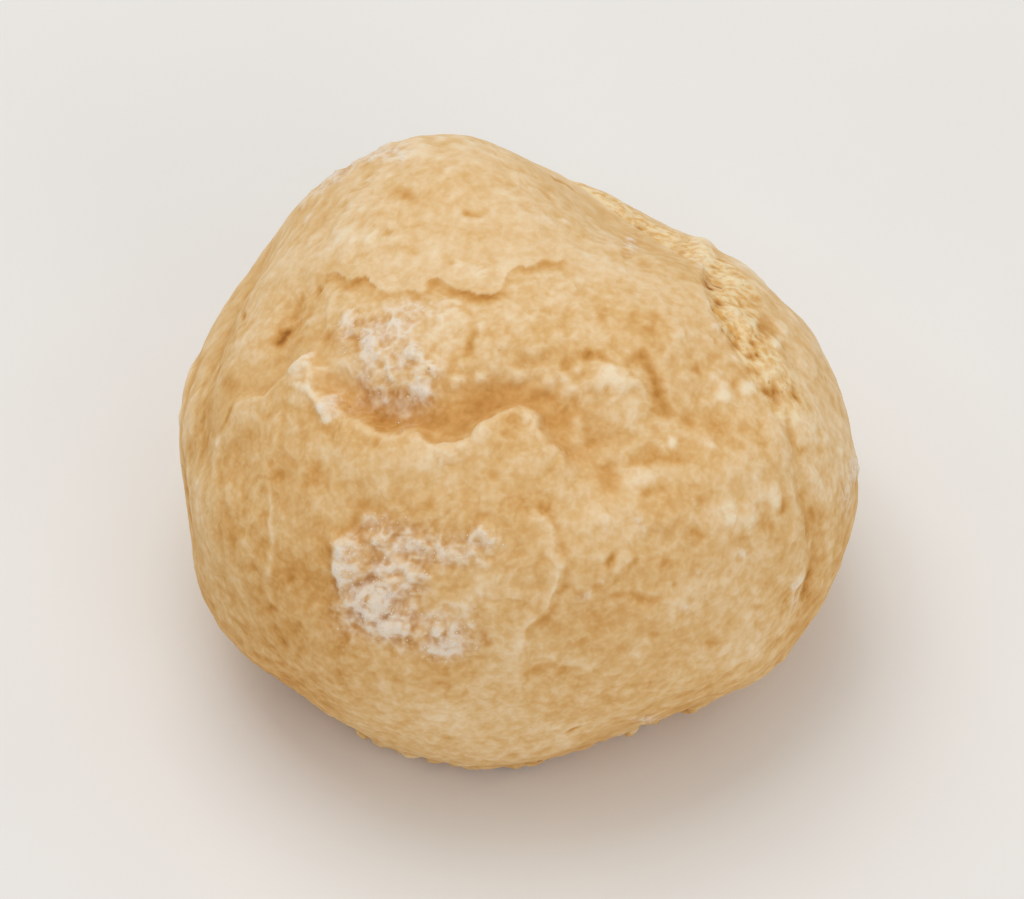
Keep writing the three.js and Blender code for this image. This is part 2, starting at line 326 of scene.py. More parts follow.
# %% Tears on the crown
GREAT, UPPER, SIDE, SLANTING, LEDGE, LEFT_CRACK = range(6)
# The tears' browning is mostly painted shadow under the torn edge, with a little real browning in the dip.
TEARS = [
    {   # great tear, along the scalloped edge of the lower plate
        "line": crown_line([
            (-28.0, 0.6), (-26.4, 3.6), (-23.8, 4.2), (-22.3, 5.2), (-20.9, 6.4), (-19.5, 7.7), (-18.5, 6.7),
            (-18.1, 5.0), (-16.9, 3.7), (-16.2, 2.6), (-15.4, 2.1), (-14.5, 1.9), (-13.3, 1.5), (-12.5, 0.8),
            (-11.3, 0.5), (-9.8, 0.6), (-8.6, 0.3), (-7.4, -0.3), (-6.2, -0.5), (-5.0, -0.3), (-4.0, 0.2),
            (-3.1, 1.2), (-2.1, 1.7), (-1.4, 2.2), (0.0, 2.9), (1.3, 2.9), (2.2, 2.2), (2.8, 1.0), (3.7, 0.0),
            (4.8, -1.3), (5.8, -2.3), (7.0, -3.9), (8.3, -5.6)]),
        "rise": 0.75, "rise_spread": 2.6, "drop": 1.35, "drop_spread": 3.8, "wall": 1.7,
        "overhang": 0.12, "ragged": 0.36, "bake_and_shade": 0.06, "pale": 0.10,
        "firm": [0.3, 0.35, 0.4, 0.45, 0.6, 0.8, 0.9, 1.0, 1.0, 1.0, 1.0, 1.0, 0.9, 0.6, 0.4, 0.3],
    },
    {   # upper tear, under the thin edge of the top plate
        "line": crown_line([
            (5.7, 17.9), (5.3, 17.1), (4.4, 16.8), (3.5, 17.0), (2.6, 16.5), (1.7, 16.3), (1.0, 16.6),
            (0.5, 16.3), (-0.2, 15.8), (-0.7, 14.9), (-1.2, 13.9), (-2.0, 13.6), (-3.1, 13.7), (-4.1, 14.3),
            (-5.1, 14.4), (-6.2, 14.9), (-7.2, 15.4), (-8.1, 14.7), (-8.8, 13.6), (-9.5, 13.9),
            (-10.9, 13.6), (-12.2, 13.8), (-13.2, 14.6), (-14.1, 15.3), (-15.4, 15.3), (-16.8, 15.8),
            (-18.2, 15.9), (-19.2, 16.4)]),
        "rise": 0.03, "rise_spread": 2.0, "drop": 0.36, "drop_spread": 1.4, "wall": 0.55,
        "overhang": 0.02, "ragged": 0.42, "bake_and_shade": 0.42, "pale": 0.0,
        "firm": [0.3, 1.0, 0.9, 0.85, 0.5, 0.6, 1.0, 1.0, 0.8, 0.9, 0.6, 0.4, 0.45, 0.8, 0.9, 0.5, 0.5, 0.3],
    },
    {   # side tear, where the cap lifted off the rim, round to the back
        "line": crown_line(
            [(24.0, -20.0), (25.2, -18.4), (26.4, -17.4), (26.9, -16.0), (27.3, -14.4), (27.8, -12.8),
             (27.6, -11.0), (27.4, -9.0), (27.0, -7.0), (26.2, -4.8), (25.2, -2.4), (24.7, -0.4), (24.4, 1.2),
             (24.0, 2.6), (23.2, 4.0), (22.6, 5.2), (22.0, 6.8), (21.3, 8.1), (20.6, 9.4), (19.7, 10.4),
             (18.9, 11.8), (18.4, 13.4), (17.9, 15.0), (17.3, 16.6)],
            behind=[(139, 31), (158, 29), (177, 26), (196, 27), (213, 21)]),
        "rise": 0.45, "rise_spread": 4.6, "drop": 1.45, "drop_spread": 2.8, "wall": 3.0, "low_on_right": True,
        "overhang": 0.0, "ragged": 0.48, "bake_and_shade": 0.06, "pale": 0.20,
        "firm": [0.4, 0.5, 0.5, 0.35, 0.3, 0.5, 0.7, 0.8, 0.85, 0.95, 1.0, 1.0, 1.0, 1.0],
    },
    {   # short slanting tear in the middle band
        "line": crown_line([(15.8, 1.8), (15.1, 3.4), (14.3, 5.1), (13.6, 6.6), (12.7, 7.9), (11.6, 9.0)]),
        "rise": 0.08, "rise_spread": 2.2, "drop": 0.40, "drop_spread": 1.5, "wall": 1.5,
        "overhang": 0.0, "ragged": 0.04, "bake_and_shade": 0.37, "pale": 0.0, "firm": [0.5, 0.9, 1.0, 0.9, 0.5],
    },
    {   # ledge down the right of the lower plate
        "line": crown_line([
            (1.6, -5.0), (2.3, -6.6), (3.0, -7.9), (3.8, -9.0), (4.0, -10.6), (3.9, -12.4), (3.5, -14.2),
            (2.6, -15.6), (1.5, -17.2), (1.0, -19.2), (0.7, -21.2), (0.4, -23.6)]),
        "rise": 0.36, "rise_spread": 1.6, "drop": 0.20, "drop_spread": 1.8, "wall": 1.4,
        "overhang": 0.06, "ragged": 0.42, "bake_and_shade": 0.0, "pale": 0.80,
        "firm": [0.9, 1.0, 1.0, 1.0, 0.8, 0.7, 0.5, 0.4],
    },
    {   # crack low on the left
        "line": crown_line([], behind=[(250, 1), (257, 5), (266, 6), (275, 2), (284, -3), (296, -2)]),
        "rise": 0.18, "rise_spread": 4.0, "drop": 0.40, "drop_spread": 2.6, "wall": 1.9,
        "overhang": 0.05, "ragged": 0.55, "bake_and_shade": 0.08, "pale": 0.2, "firm": [0.8, 1.0, 0.5, 0.8, 0.3],
    },
]
tear_lengths = [np.linalg.norm(np.diff(tear["line"], axis=0), axis=1).sum() for tear in TEARS]
print(len(TEARS), "tears, the longest", round(float(max(tear_lengths))), "mm")

# %% [markdown]
# ## Folds, curls and spots
# Between the tears the crust dips, wrinkles and blisters. A fold is a soft dip or ridge along a line,
# wide like a valley or narrow like a crease, with or without a lip on each side. A curl is a thin ridge
# of torn skin or of sugar. A spot is a round or oval dip or bump. Each has its own browning, above 0
# where it is browner and below 0 where it is paler. In grooves and dips that browning is partly the
# dough's own colour and partly painted shade.

# %% Folds
FOLDS = [  # crown places, depth (below 0 is a ridge), half width, lip height (mm), browning
    # wide dips
    ([(-15, 4.2), (-9, 2.9), (-3, 4.9), (3, 5.4), (6.4, 2.0), (8.4, -2.8)], 1.15, 3.2, 0, 0.06),
    ([(9.5, -0.5), (15, 1.2), (20, 3.5)], 0.70, 4.2, 0, 0.05),
    ([(-21, 12.5), (-22, 8.5)], 0.70, 2.6, 0, 0.10),
    # the floor of the valley, and where it runs out to the right
    ([(-15.6, 3.2), (-13.2, 2.7), (-10.4, 2.1), (-7.8, 1.9), (-5.4, 2.2), (-3.0, 3.4), (-1.0, 4.0),
      (1.0, 4.2), (2.8, 3.4), (3.9, 2.4)], 0.16, 1.9, 0, 0.18),
    ([(6.3, 2.8), (6.3, 0.6), (6.0, -0.9)], -0.26, 0.6, 0, -0.16),
    ([(7.9, 0.4), (7.5, -1.0)], 0.14, 0.40, 0, 0.12),
    ([(8.9, -1.9), (9.1, -3.4), (9.2, -5.2)], 0.26, 0.80, 0, 0.16),
    ([(11.5, 3.4), (11.2, 2.2), (11.5, 0.8)], -0.22, 0.55, 0, -0.12),
    ([(13.6, 4.0), (13.4, 3.0), (13.8, 2.0)], 0.10, 0.6, 0, 0.02),
    ([(10.4, -2.6), (12.0, -2.1), (13.6, -1.9), (16.0, -1.9), (17.9, -1.5)], 0.16, 0.80, 0, 0.14),
    ([(9.7, -4.9), (11.4, -4.0), (13.0, -3.3), (15.0, -2.9), (16.6, -2.7)], -0.18, 1.0, 0, -0.12),
    ([(11.8, -5.7), (13.0, -4.7), (14.3, -4.2)], 0.20, 0.42, 0, 0.16),
    ([(16.0, 1.7), (18.8, 1.8), (20.2, 0.6)], 0.24, 0.85, 0, 0.12),
    ([(20.2, 0.1), (21.1, -0.9), (21.7, -1.9)], 0.26, 0.34, 0.08, 0.24),
    # brown creases in the middle band and the top plate, their brown partly painted shade
    ([(6.5, 7.3), (7.5, 7.9), (8.4, 7.9), (8.9, 7.0)], 0.20, 0.55, 0, 0.22),
    ([(-22.0, 10.7), (-22.6, 9.8), (-23.3, 8.8)], 0.26, 0.65, 0.03, 0.28),
    ([(-12.4, 25.8), (-11.3, 25.7), (-10.0, 25.9)], 0.16, 0.75, 0, 0.24),
    ([(-4.9, 21.8), (-4.1, 21.2), (-3.2, 21.1), (-2.6, 20.8)], 0.16, 0.40, 0, 0.26),
    ([(3.9, 25.4), (4.9, 25.1), (6.3, 24.5)], 0.18, 0.40, 0, 0.32),
    ([(3.4, 26.9), (4.9, 26.4)], 0.20, 0.45, 0, 0.22),
    ([(-12.1, 19.6), (-11.4, 19.2)], 0.20, 0.28, 0, 0.24),
    ([(-19.0, 14.6), (-18.3, 14.2)], 0.22, 0.30, 0, 0.26),
    ([(-25.8, 12.7), (-25.6, 11.2)], 0.20, 0.24, 0.06, 0.26),
    ([(-7.4, 10.4), (-6.9, 11.9), (-5.4, 12.5), (-3.9, 11.7), (-3.4, 10.4)], 0.12, 0.30, 0.06, 0.08),
    ([(-8.0, 20.2), (-11.0, 18.6), (-15.0, 18.9), (-18.6, 18.0)], -0.10, 0.50, 0, -0.06),
    # left of the lower plate
    ([(-26.3, 3.8), (-26.9, 2.3), (-27.5, 1.2), (-28.2, 0.9)], 0.14, 0.34, 0.02, 0.26),
    ([(-29.6, 0.5), (-28.5, 0.1), (-27.3, -0.1)], -0.16, 0.30, 0, -0.20),
    ([(-27.4, -0.4), (-27.3, -4.0), (-26.4, -8.0), (-25.0, -12.4)], 0.06, 0.60, 0.02, 0.03),
    ([(-22.9, -3.6), (-22.5, -6.6), (-22.3, -10.6), (-22.8, -13.4)], -0.10, 0.32, 0, -0.24),
    ([(-23.4, -14.4), (-21.0, -19.0), (-16.6, -23.4), (-11.4, -26.6)], 0.06, 0.60, 0.02, -0.04),
    # right of the lower plate and along the bottom
    ([(9.5, -10.1), (8.9, -11.0), (8.3, -11.9)], 0.24, 0.38, 0.06, 0.18),
    ([(11.7, -10.6), (10.2, -11.7)], 0.16, 0.30, 0.05, 0.14),
    ([(14.0, -14.6), (11.6, -14.2), (8.2, -14.3)], 0.12, 0.45, 0, 0.12),
    ([(5.8, -21.6), (4.0, -21.0), (2.2, -21.5), (1.3, -22.3)], 0.16, 0.80, 0, 0.10),
    ([(6.9, -26.8), (5.0, -27.5)], 0.16, 0.30, 0.08, 0.18),
    ([(22.0, -20.0), (17.0, -23.6), (11.0, -25.8)], 0.06, 0.60, 0.03, 0.02),
    ([(-3.0, -13.6), (-3.2, -16.4), (-2.2, -19.4)], 0.10, 0.60, 0, 0.10),
    # round the sides and the back, by (turn, above) places
    ([], 0.06, 0.60, 0.02, 0.03, [(300, -8), (312, -5), (322, -9), (334, -8)]),
    ([], 0.14, 0.50, 0.06, 0.12, [(66, -10), (80, -13), (97, -9), (116, -12)]),
    ([], 0.14, 0.55, 0.04, 0.12, [(118, 12), (128, 9), (139, 11), (150, 8), (168, 5)]),
    ([], 0.13, 0.62, 0.04, 0.07,
     [(176, -7), (188, -2), (196, -4), (209, -9), (221, -5), (229, -7), (240, -13)]),
    ([], 0.08, 0.60, 0.03, 0.07, [(186, 44), (202, 49), (210, 45), (229, 46)]),
    ([], 0.12, 0.60, 0.04, 0.08, [(230, 24), (238, 29), (244, 27), (252, 22), (258, 26), (268, 25)]),
    ([], 0.80, 3.20, 0, 0.10, [(240, 16), (262, 18), (284, 14)]),
    ([], 0.60, 3.60, 0, 0.08, [(98, -2), (122, 1), (146, -4)]),
]
print(len(FOLDS), "folds")

# %% Curls of torn skin and of sugar
CURLS = [  # crown places, height, half width (mm), sugar on it, browning
    # the torn ribbon of skin that stands in the left corner of the valley
    ([(-18.6, 8.6), (-19.6, 7.2), (-19.8, 6.0), (-19.4, 4.8)], 0.34, 0.30, 0.36, -0.26),
    ([(-20.4, 5.6), (-19.0, 4.7), (-18.2, 3.6), (-17.6, 2.3), (-17.0, 1.0)], 0.38, 0.30, 0.40, -0.28),
    ([(-19.6, 7.3), (-18.4, 7.0), (-17.2, 7.1)], 0.28, 0.28, 0.36, -0.22),
    ([(-21.2, 7.0), (-20.2, 6.4), (-19.4, 6.5)], 0.22, 0.26, 0.26, -0.20),
    ([(-18.4, 4.6), (-17.8, 3.6), (-17.8, 2.8)], 0.22, 0.26, 0.20, -0.16),
    # worms of sugar on the upper patch
    ([(-12.6, 8.6), (-11.6, 7.6), (-11.9, 6.5), (-10.9, 6.0)], 0.30, 0.34, 0.45, 0),
    ([(-14.6, 6.0), (-13.6, 4.9), (-12.9, 3.6)], 0.26, 0.32, 0.40, 0),
    ([(-9.6, 8.6), (-8.9, 7.4), (-7.4, 6.5)], 0.30, 0.34, 0.45, 0),
    ([(-9.0, 4.9), (-7.8, 4.5), (-6.9, 4.0)], 0.26, 0.30, 0.40, 0),
    # worms of sugar on the lower patch
    ([(-14.7, -8.9), (-15.9, -10.2), (-15.9, -12.0), (-15.3, -13.8), (-14.8, -15.8)],
     0.38, 0.52, 0.50, -0.10),
    ([(-12.3, -13.5), (-11.7, -12.3), (-10.1, -11.8), (-8.5, -12.2), (-7.7, -13.1), (-8.5, -14.0)],
     0.34, 0.36, 0.55, 0),
    ([(-12.1, -13.6), (-10.8, -14.3), (-9.4, -13.9)], 0.30, 0.34, 0.50, 0),
    ([(-12.9, -9.4), (-11.6, -8.2), (-10.4, -7.6)], 0.28, 0.36, 0.40, 0),
    ([(-8.4, -9.0), (-7.2, -9.9), (-6.0, -9.5)], 0.26, 0.36, 0.35, 0),
    ([(-3.6, -7.6), (-2.4, -8.5), (-1.5, -9.4)], 0.30, 0.40, 0.50, 0),
    ([(-4.3, -9.4), (-3.0, -10.8), (-1.6, -11.0)], 0.22, 0.36, 0.30, 0),
    ([(-12.8, -17.3), (-10.6, -17.0), (-8.9, -17.9)], 0.26, 0.44, 0.45, 0),
    ([(-7.0, -17.6), (-5.8, -17.0), (-4.8, -17.7)], 0.22, 0.36, 0.35, 0),
]
print(len(CURLS), "curls")

# %% Spots
SPOTS = [  # crown place (mm), half width and half height (mm), bump or (below 0) dip, browning
    (-14.5, -11, 1.2, 1.4, 0.5, -0.1), (-11, -12.8, 0.7, 0.6, 0.42, -0.1), (-8.6, -17.8, 0.5, 0.5, 0.35, 0),
    (-2.5, -8.6, 0.7, 0.5, 0.35, 0), (-12.4, -8.9, 0.9, 0.5, 0.3, 0), (-12.6, -14.6, 1.2, 0.7, 0.35, 0),
    (-10.3, -11.2, 0.5, 0.5, 0.25, 0), (-9.2, -12.4, 0.4, 0.6, 0.25, 0), (-13, 9, 0.6, 0.5, 0.22, 0),
    (-12.2, 7.5, 0.5, 0.6, 0.22, 0), (-9.4, 8, 0.5, 0.4, 0.25, 0), (-7.3, 6.6, 0.6, 0.4, 0.25, 0),
    (-8.5, 4.3, 0.6, 0.3, 0.22, 0), (-10.6, 5.2, 0.8, 0.5, 0.2, 0), (-9.2, 27.4, 1.4, 0.9, 0.35, -0.15),
    (-4.2, 24.5, 0.6, 0.4, -0.15, 0.2), (-3.1, 23.6, 0.7, 0.3, -0.12, 0.14),
    (3.3, 23.9, 0.4, 0.3, -0.15, 0.2), (-17.4, 9.9, 0.9, 0.6, -0.34, 0.26),
    (-14.7, 9.6, 0.8, 0.5, -0.24, 0.24), (-13.8, 10.7, 0.4, 0.5, -0.15, 0.24),
    (-3.9, 9, 0.55, 0.85, -0.4, 0.32), (-5.6, 10.5, 1.7, 1.6, 0.2, -0.04), (9, 5.7, 1.9, 0.85, 0.6, -0.24),
    (8.9, 4.9, 0.5, 0.3, -0.2, 0.22), (3.5, 5.7, 0.75, 0.7, 0.55, -0.26), (5.4, 5, 0.5, 0.8, 0.35, -0.14),
    (0.6, 6.4, 0.8, 0.5, 0.35, -0.14), (-3, 6.1, 0.5, 0.4, 0.3, -0.2), (-5.2, 5.9, 0.6, 0.4, 0.3, -0.14),
    (5.6, 8, 0.9, 0.6, -0.25, 0.16), (1.4, 8.1, 0.7, 0.4, -0.25, 0.18), (5.2, 11.4, 0.6, 0.7, -0.2, 0.14),
    (3.4, 12.3, 0.6, 0.4, -0.15, 0.12), (8.4, 11.4, 0.3, 0.4, -0.15, 0.18),
    (11.8, 11.2, 1.4, 1.2, -0.22, 0.12), (13.4, 11.4, 0.3, 0.4, -0.15, 0.2),
    (12.3, 16.6, 0.4, 0.3, -0.15, 0.18), (10.6, 17.6, 0.4, 0.7, -0.18, 0.2),
    (10.8, 14.6, 1, 0.5, -0.15, 0.12), (17.6, 6.9, 0.6, 0.5, -0.18, 0.14),
    (16.6, 8.1, 0.4, 0.3, -0.15, 0.14), (15.2, 9.6, 0.6, 0.5, 0.18, -0.14),
    (15.4, 5.4, 0.5, 1, -0.15, 0.12), (19.9, 4.2, 0.5, 0.6, 0.25, -0.18), (17.4, 0.7, 0.9, 0.5, 0.2, -0.12),
    (18, -0.4, 0.5, 0.3, 0.22, -0.16), (15, -0.2, 0.3, 0.45, 0.35, -0.3), (22.7, -0.4, 0.4, 0.5, -0.2, 0.2),
    (22.3, 0.9, 0.3, 0.3, -0.18, 0.16), (21.1, -2.9, 0.5, 0.4, -0.12, 0.1),
    (19.6, -7, 1.4, 0.9, 0.28, -0.24), (23.6, -4.6, 0.5, 0.8, 0.25, -0.2),
    (16.7, -8.5, 0.5, 0.35, -0.2, 0.2), (20.9, -8.9, 0.9, 0.4, -0.15, 0.14),
    (24.6, -6.1, 0.5, 0.65, -0.45, 0.34), (14.2, -11.2, 0.6, 0.4, -0.15, 0.14),
    (18.5, -18.7, 0.5, 0.5, -0.25, 0.26), (22.2, -15.4, 0.4, 0.3, -0.2, 0.24),
    (12.9, -17.4, 0.7, 0.6, -0.15, 0.14), (23.6, -12.6, 0.5, 0.7, -0.12, 0.12),
    (19, -21.2, 0.4, 0.3, -0.12, 0.14), (-22.4, -15.5, 0.35, 0.35, -0.22, 0.3),
    (-19.6, -17, 0.3, 0.3, -0.2, 0.28), (-25.8, -19, 0.5, 0.3, -0.15, 0.16),
    (-20.1, -22.9, 0.7, 0.35, -0.15, 0.16), (-5.9, -27.7, 0.5, 0.3, -0.15, 0.16),
    (-15.7, -19, 0.4, 0.3, -0.12, 0.16), (-21.7, -3, 0.6, 1, -0.18, 0.16),
    (-17.4, -3.2, 0.9, 0.8, -0.12, 0.1), (-26.6, 5.2, 0.5, 0.6, -0.15, 0.14),
    (-16.3, 7.3, 1.2, 0.6, 0.25, -0.12), (-15.9, 3.9, 0.7, 0.6, 0.3, -0.12),
    (-17, 5.6, 0.8, 0.6, -0.35, 0.16), (13.5, 12.4, 3, 2.4, 0.25, 0), (18.5, -2.2, 3.4, 2.2, 0.35, 0),
    (13.6, -6.6, 2.6, 1.8, 0.3, 0), (-24, -3, 2.2, 3, 0.2, 0), (10, 20.5, 3.2, 2.2, 0.25, 0),
    (-13, 22, 4, 2, 0.22, 0), (2.9, -6.6, 0.7, 1.3, -0.2, 0.26), (1.4, -2, 1.6, 1.2, 0.2, -0.05),
    (-9, -2, 3.4, 1.3, 0.25, -0.06),
]
SEAM_SPOTS = [  # the same, in the torn seam between cap and rim
    (17.7, 18.6, 0.8, 1.5, 0.75, -0.3), (18.5, 17, 0.6, 1, 0.55, -0.3), (21.9, 16.6, 1.7, 1.4, 0.5, -0.12),
    (24, 15, 1, 1.4, 0.3, -0.08), (20.3, 12.3, 0.7, 0.45, 0.5, -0.24), (23.1, 7.2, 0.5, 0.4, 0.45, -0.24),
    (25.3, 9.2, 0.5, 0.5, 0.45, -0.22), (22.9, 5.8, 0.4, 0.5, 0.3, -0.16), (25, 2.8, 0.4, 0.5, 0.35, -0.2),
    (21, 9.7, 0.8, 1.1, -0.6, 0.3), (24.2, 3.7, 0.9, 0.7, -0.55, 0.3), (19.6, 12.8, 0.7, 0.4, -0.4, 0.34),
    (26.2, 3.9, 1.3, 1, -0.3, 0.34), (22.4, 10.9, 0.6, 0.5, 0.45, -0.26), (24, 6.6, 0.8, 0.7, 0.45, -0.28),
    (22, 5, 0.6, 0.6, 0.4, -0.3), (20.9, 12, 0.6, 0.5, 0.45, -0.3), (18.6, 15.2, 1, 0.8, -0.25, 0.3),
    (22.1, 12.9, 1, 0.5, -0.35, 0.34), (24, 10.9, 1, 0.8, -0.3, 0.34), (22.5, 6.8, 0.7, 0.5, -0.4, 0.34),
    (23.4, 4.7, 0.45, 0.4, -0.35, 0.22), (26.6, 5, 0.6, 0.5, -0.35, 0.22),
    (24.8, 8.5, 0.4, 0.45, -0.35, 0.22), (21.4, 15.6, 0.5, 0.3, -0.3, 0.16),
    (16.6, 17, 0.35, 1.3, -0.35, 0.14), (25.6, 0.2, 0.4, 0.6, -0.3, 0.2),
    (26.6, -0.9, 0.35, 0.3, -0.3, 0.26), (28.1, -0.7, 0.3, 0.3, -0.25, 0.26),
    (27, -5.6, 0.3, 0.5, -0.3, 0.24), (28.8, -6.9, 0.5, 0.4, -0.25, 0.24),
    (28.2, -12.7, 0.4, 0.5, -0.3, 0.3), (27.7, -14.2, 0.4, 0.8, -0.25, 0.18),
    (26.4, -17.6, 0.3, 0.4, -0.25, 0.26), (24.6, -18.7, 0.8, 0.35, -0.3, 0.22),
    (26.4, -13.2, 0.5, 0.5, 0.3, -0.3), (29.3, 0.3, 0.3, 0.4, 0.25, -0.16),
    (30.7, -1.1, 0.3, 0.3, 0.25, -0.16), (28.6, 8.4, 0.9, 1.2, 0.15, -0.06),
]
print(len(SPOTS) + len(SEAM_SPOTS), "spots")

# %% [markdown]
# ## Drawing the grid in towards the tears
# A tear is sharp, and the grid's squares are a third of a millimetre, so its edge would come out as
# saw teeth. The grid could be made finer everywhere, but most of it would be wasted. Instead each grid
# point slides along the body towards the tears near it, so that the squares are small just where the
# crust is torn. The line is asked for at a place pushed about by noise, which makes the tear ragged.

# %% Gather the grid
PULL, REACH = 0.55, 3.2
TEAR_SEED = 40


def pushed(points, amount, seed):
    """points + amount x noise vector, with wobbles 2.6 mm and 0.9 mm long."""
    push = [noise(points, 2.6, seed + k) + 0.45 * noise(points, 0.9, seed + 5 + k) for k in range(3)]
    return points + amount * np.stack(push, axis=1)


def across_tear(points, tear, seed, reach):
    """measure() to a ragged tear, with the distance above 0 on its low side."""
    near, distance, share, away = measure(pushed(points, tear["ragged"], seed), tear["line"], reach)
    turn = -1 if tear.get("low_on_right") else 1
    return near, turn * distance, share, away


base = directions * body_radius(directions)[:, None]
for number, tear in enumerate(TEARS):
    near, distance, share, away = across_tear(base, tear, TEAR_SEED + 10 * number, 3 * REACH)
    pull = PULL * taper(share) * bell(distance, 0, REACH)
    base[near] -= pull[:, None] * away
directions = unit(base)
base = directions * body_radius(directions)[:, None]
spacing = np.linalg.norm(base[edges[:, 0]] - base[edges[:, 1]], axis=1)
print("grid steps, mm:", np.round(np.percentile(spacing, [1, 50, 99]), 3))

# %% [markdown]
# ## The torn shape
# Every lump, tear, hollow, crease and spot now adds its own part to one height above the smooth body.
# The same pass notes where the crust is browner or paler: dough that stretched late is pale, and in
# the dips and under the torn edges the browning is partly painted shade.

# %% Lumps and tears
COUNT = len(base)
LUMPS = [(0.75, 13, 3), (0.38, 6.5, 8)]  # height and size (mm), seed
height = sum(rise * noise(base, size, seed) for rise, size, seed in LUMPS)
slide = np.zeros((COUNT, 3))
bake_and_shade = np.zeros(COUNT)
pale = np.zeros(COUNT)
FAR, TEAR_REACH = 99.0, 16
tear_distance = np.full((len(TEARS), COUNT), FAR)
for number, tear in enumerate(TEARS):
    near, s, share, away = across_tear(base, tear, TEAR_SEED + 10 * number, TEAR_REACH)
    wall, drop_spread = tear["wall"], tear["drop_spread"]
    firm = taper(share, 0.12) * np.interp(share, np.linspace(0, 1, len(tear["firm"])), tear["firm"])
    low = ramp(s, -0.35 * wall, 0.65 * wall)
    edge = tear["rise"] * np.exp(-np.maximum(-s, 0) / tear["rise_spread"])
    fade = bell(np.maximum(s, 0), 0, drop_spread)
    height[near] += firm * ((1 - low) * edge - low * tear["drop"] * fade)
    curl = tear["overhang"] * firm * (1 - low) * bell(np.minimum(s, 0), 0, 1.3)
    toward_low = unit(away) * np.where(s >= 0, 1, -1)[:, None]
    slide[near] += (curl * np.minimum(np.abs(s) / 0.15, 1))[:, None] * toward_low
    # Painted shadow: the low side just past the torn edge is browned where the edge shades it.
    shadow = bell(np.maximum(s - 0.5 * wall, 0), 0, 0.55 * drop_spread)
    bake_and_shade[near] += tear["bake_and_shade"] * firm * low * (0.35 * fade + 0.65 * shadow)
    pale[near] += tear["pale"] * firm * bell(s, -0.30 * wall, 0.5 * wall)
    tear_distance[number, near] = s
print("height over the smooth body, mm:", np.round([height.min(), height.max()], 2))

# %% Folds, curls and spots
WIDE_FOLD = 1.5
FOLD_SEED, BREAK_SEED, CURL_SEED = 140, 900, 940
for number, (points, depth, width, lip, brown, *behind) in enumerate(FOLDS):
    line = crown_line(points, *behind)
    ragged = 0.12 + 0.42 * min(width, 1.2)
    near, s, share, _ = measure(pushed(base, ragged, FOLD_SEED + 10 * number), line, 4 * width + 1)
    whole = taper(share, 0.25) if width < WIDE_FOLD else 1
    if behind and width < WIDE_FOLD:
        whole = whole * ramp(noise(pushed(base, 1.5, 840)[near], 4.5, BREAK_SEED + number), -0.5, 0.3)
    groove = bell(s, 0, width)
    height[near] += whole * (lip * bell(np.abs(s), 2.4 * width, 1.6 * width) - depth * groove)
    # Browning along the groove: partly the dough's colour, partly painted shade.
    bake_and_shade[near] += whole * brown * groove
    pale[near] += 1.6 * lip * whole * bell(np.abs(s), 2 * width, width)
curl_sugar = np.zeros(COUNT)
for number, (points, rise, width, strength, brown) in enumerate(CURLS):
    ragged_base = pushed(base, 0.34, CURL_SEED + 10 * number)
    near, s, share, _ = measure(ragged_base, crown_line(points), 4 * width + 1)
    ridge = taper(share, 0.2) * bell(s, 0, width)
    height[near] += rise * ridge
    bake_and_shade[near] += brown * ridge
    curl_sugar[near] += strength * ridge
across, up, out = base @ CROWN_RIGHT, base @ CROWN_UP, base @ CROWN_OUT


def patch(x, y, half_width, half_height, ragged=0.1, seed=300):
    """exp(-(dx / w)^2 - (dy / h)^2) on the crown map, ragged by noise, and fading out behind."""
    mask = np.zeros(COUNT)
    beside, above = np.abs(across - x) < 4 * half_width, np.abs(up - y) < 4 * half_height
    inside = np.nonzero(beside & above & (out > -10))[0]
    reach = ((across[inside] - x) / half_width) ** 2 + ((up[inside] - y) / half_height) ** 2
    size = 1.2 * min(half_width, half_height) + 0.3
    uneven = 1 + ragged * octaves(base[inside], size, seed, 2)
    mask[inside] = np.exp(-reach * uneven) * ramp(out[inside], -10, -4)
    return mask


DIP_SHARE, SOFTER, SPOT_RAGGED, SPOT_SEED = 0.50, 1.20, 0.8, 600
DIP_SHADE_AND_BROWNING, BUMP_BROWNING = 0.70, 0.85
# Browner dips are partly painted shade.
for number, (x, y, half_width, half_height, bump, brown) in enumerate(SPOTS + SEAM_SPOTS):
    spot = patch(x, y, SOFTER * half_width, SOFTER * half_height, SPOT_RAGGED, SPOT_SEED + number)
    height += (DIP_SHARE if bump < 0 else 1) * bump * spot
    bake_and_shade += (DIP_SHADE_AND_BROWNING if bump < 0 else BUMP_BROWNING) * brown * spot
print("height with dips, mm:", np.round([height.min(), height.max()], 2))

# %% [markdown]
# ## Smoothing over the grid
# Averaging each point with its neighbours, again and again, gives a smoother bun. It eases the sideways
# slide of the torn edges, tells how deep a dip is, and rounds off what the grid can't show. The normals
# come from the cross product of each square's diagonals, summed at its corners.

# %% Smoothing and normals
NEIGHBOURS = np.bincount(edges.ravel(), minlength=COUNT)


def smoothed(values, times):
    """Each value replaced by half itself and half its neighbours' mean, times over."""
    for _ in range(times):
        total = np.bincount(edges[:, 0], values[edges[:, 1]], COUNT)
        total += np.bincount(edges[:, 1], values[edges[:, 0]], COUNT)
        values = (values + total / NEIGHBOURS) / 2
    return values


def smoothed_points(points, times):
    """smoothed() for each of the three coordinates."""
    return np.stack([smoothed(points[:, axis], times) for axis in range(3)], axis=1)


def normals_of(points):
    """Unit sum, at each point, of the cross products of the diagonals of the squares that meet there."""
    a, b, c, d = (points[quads[:, k]] for k in range(4))
    facing = np.cross(c - a, d - b)
    total = [sum(np.bincount(quads[:, k], facing[:, axis], COUNT) for k in range(4)) for axis in range(3)]
    return unit(np.stack(total, axis=1))


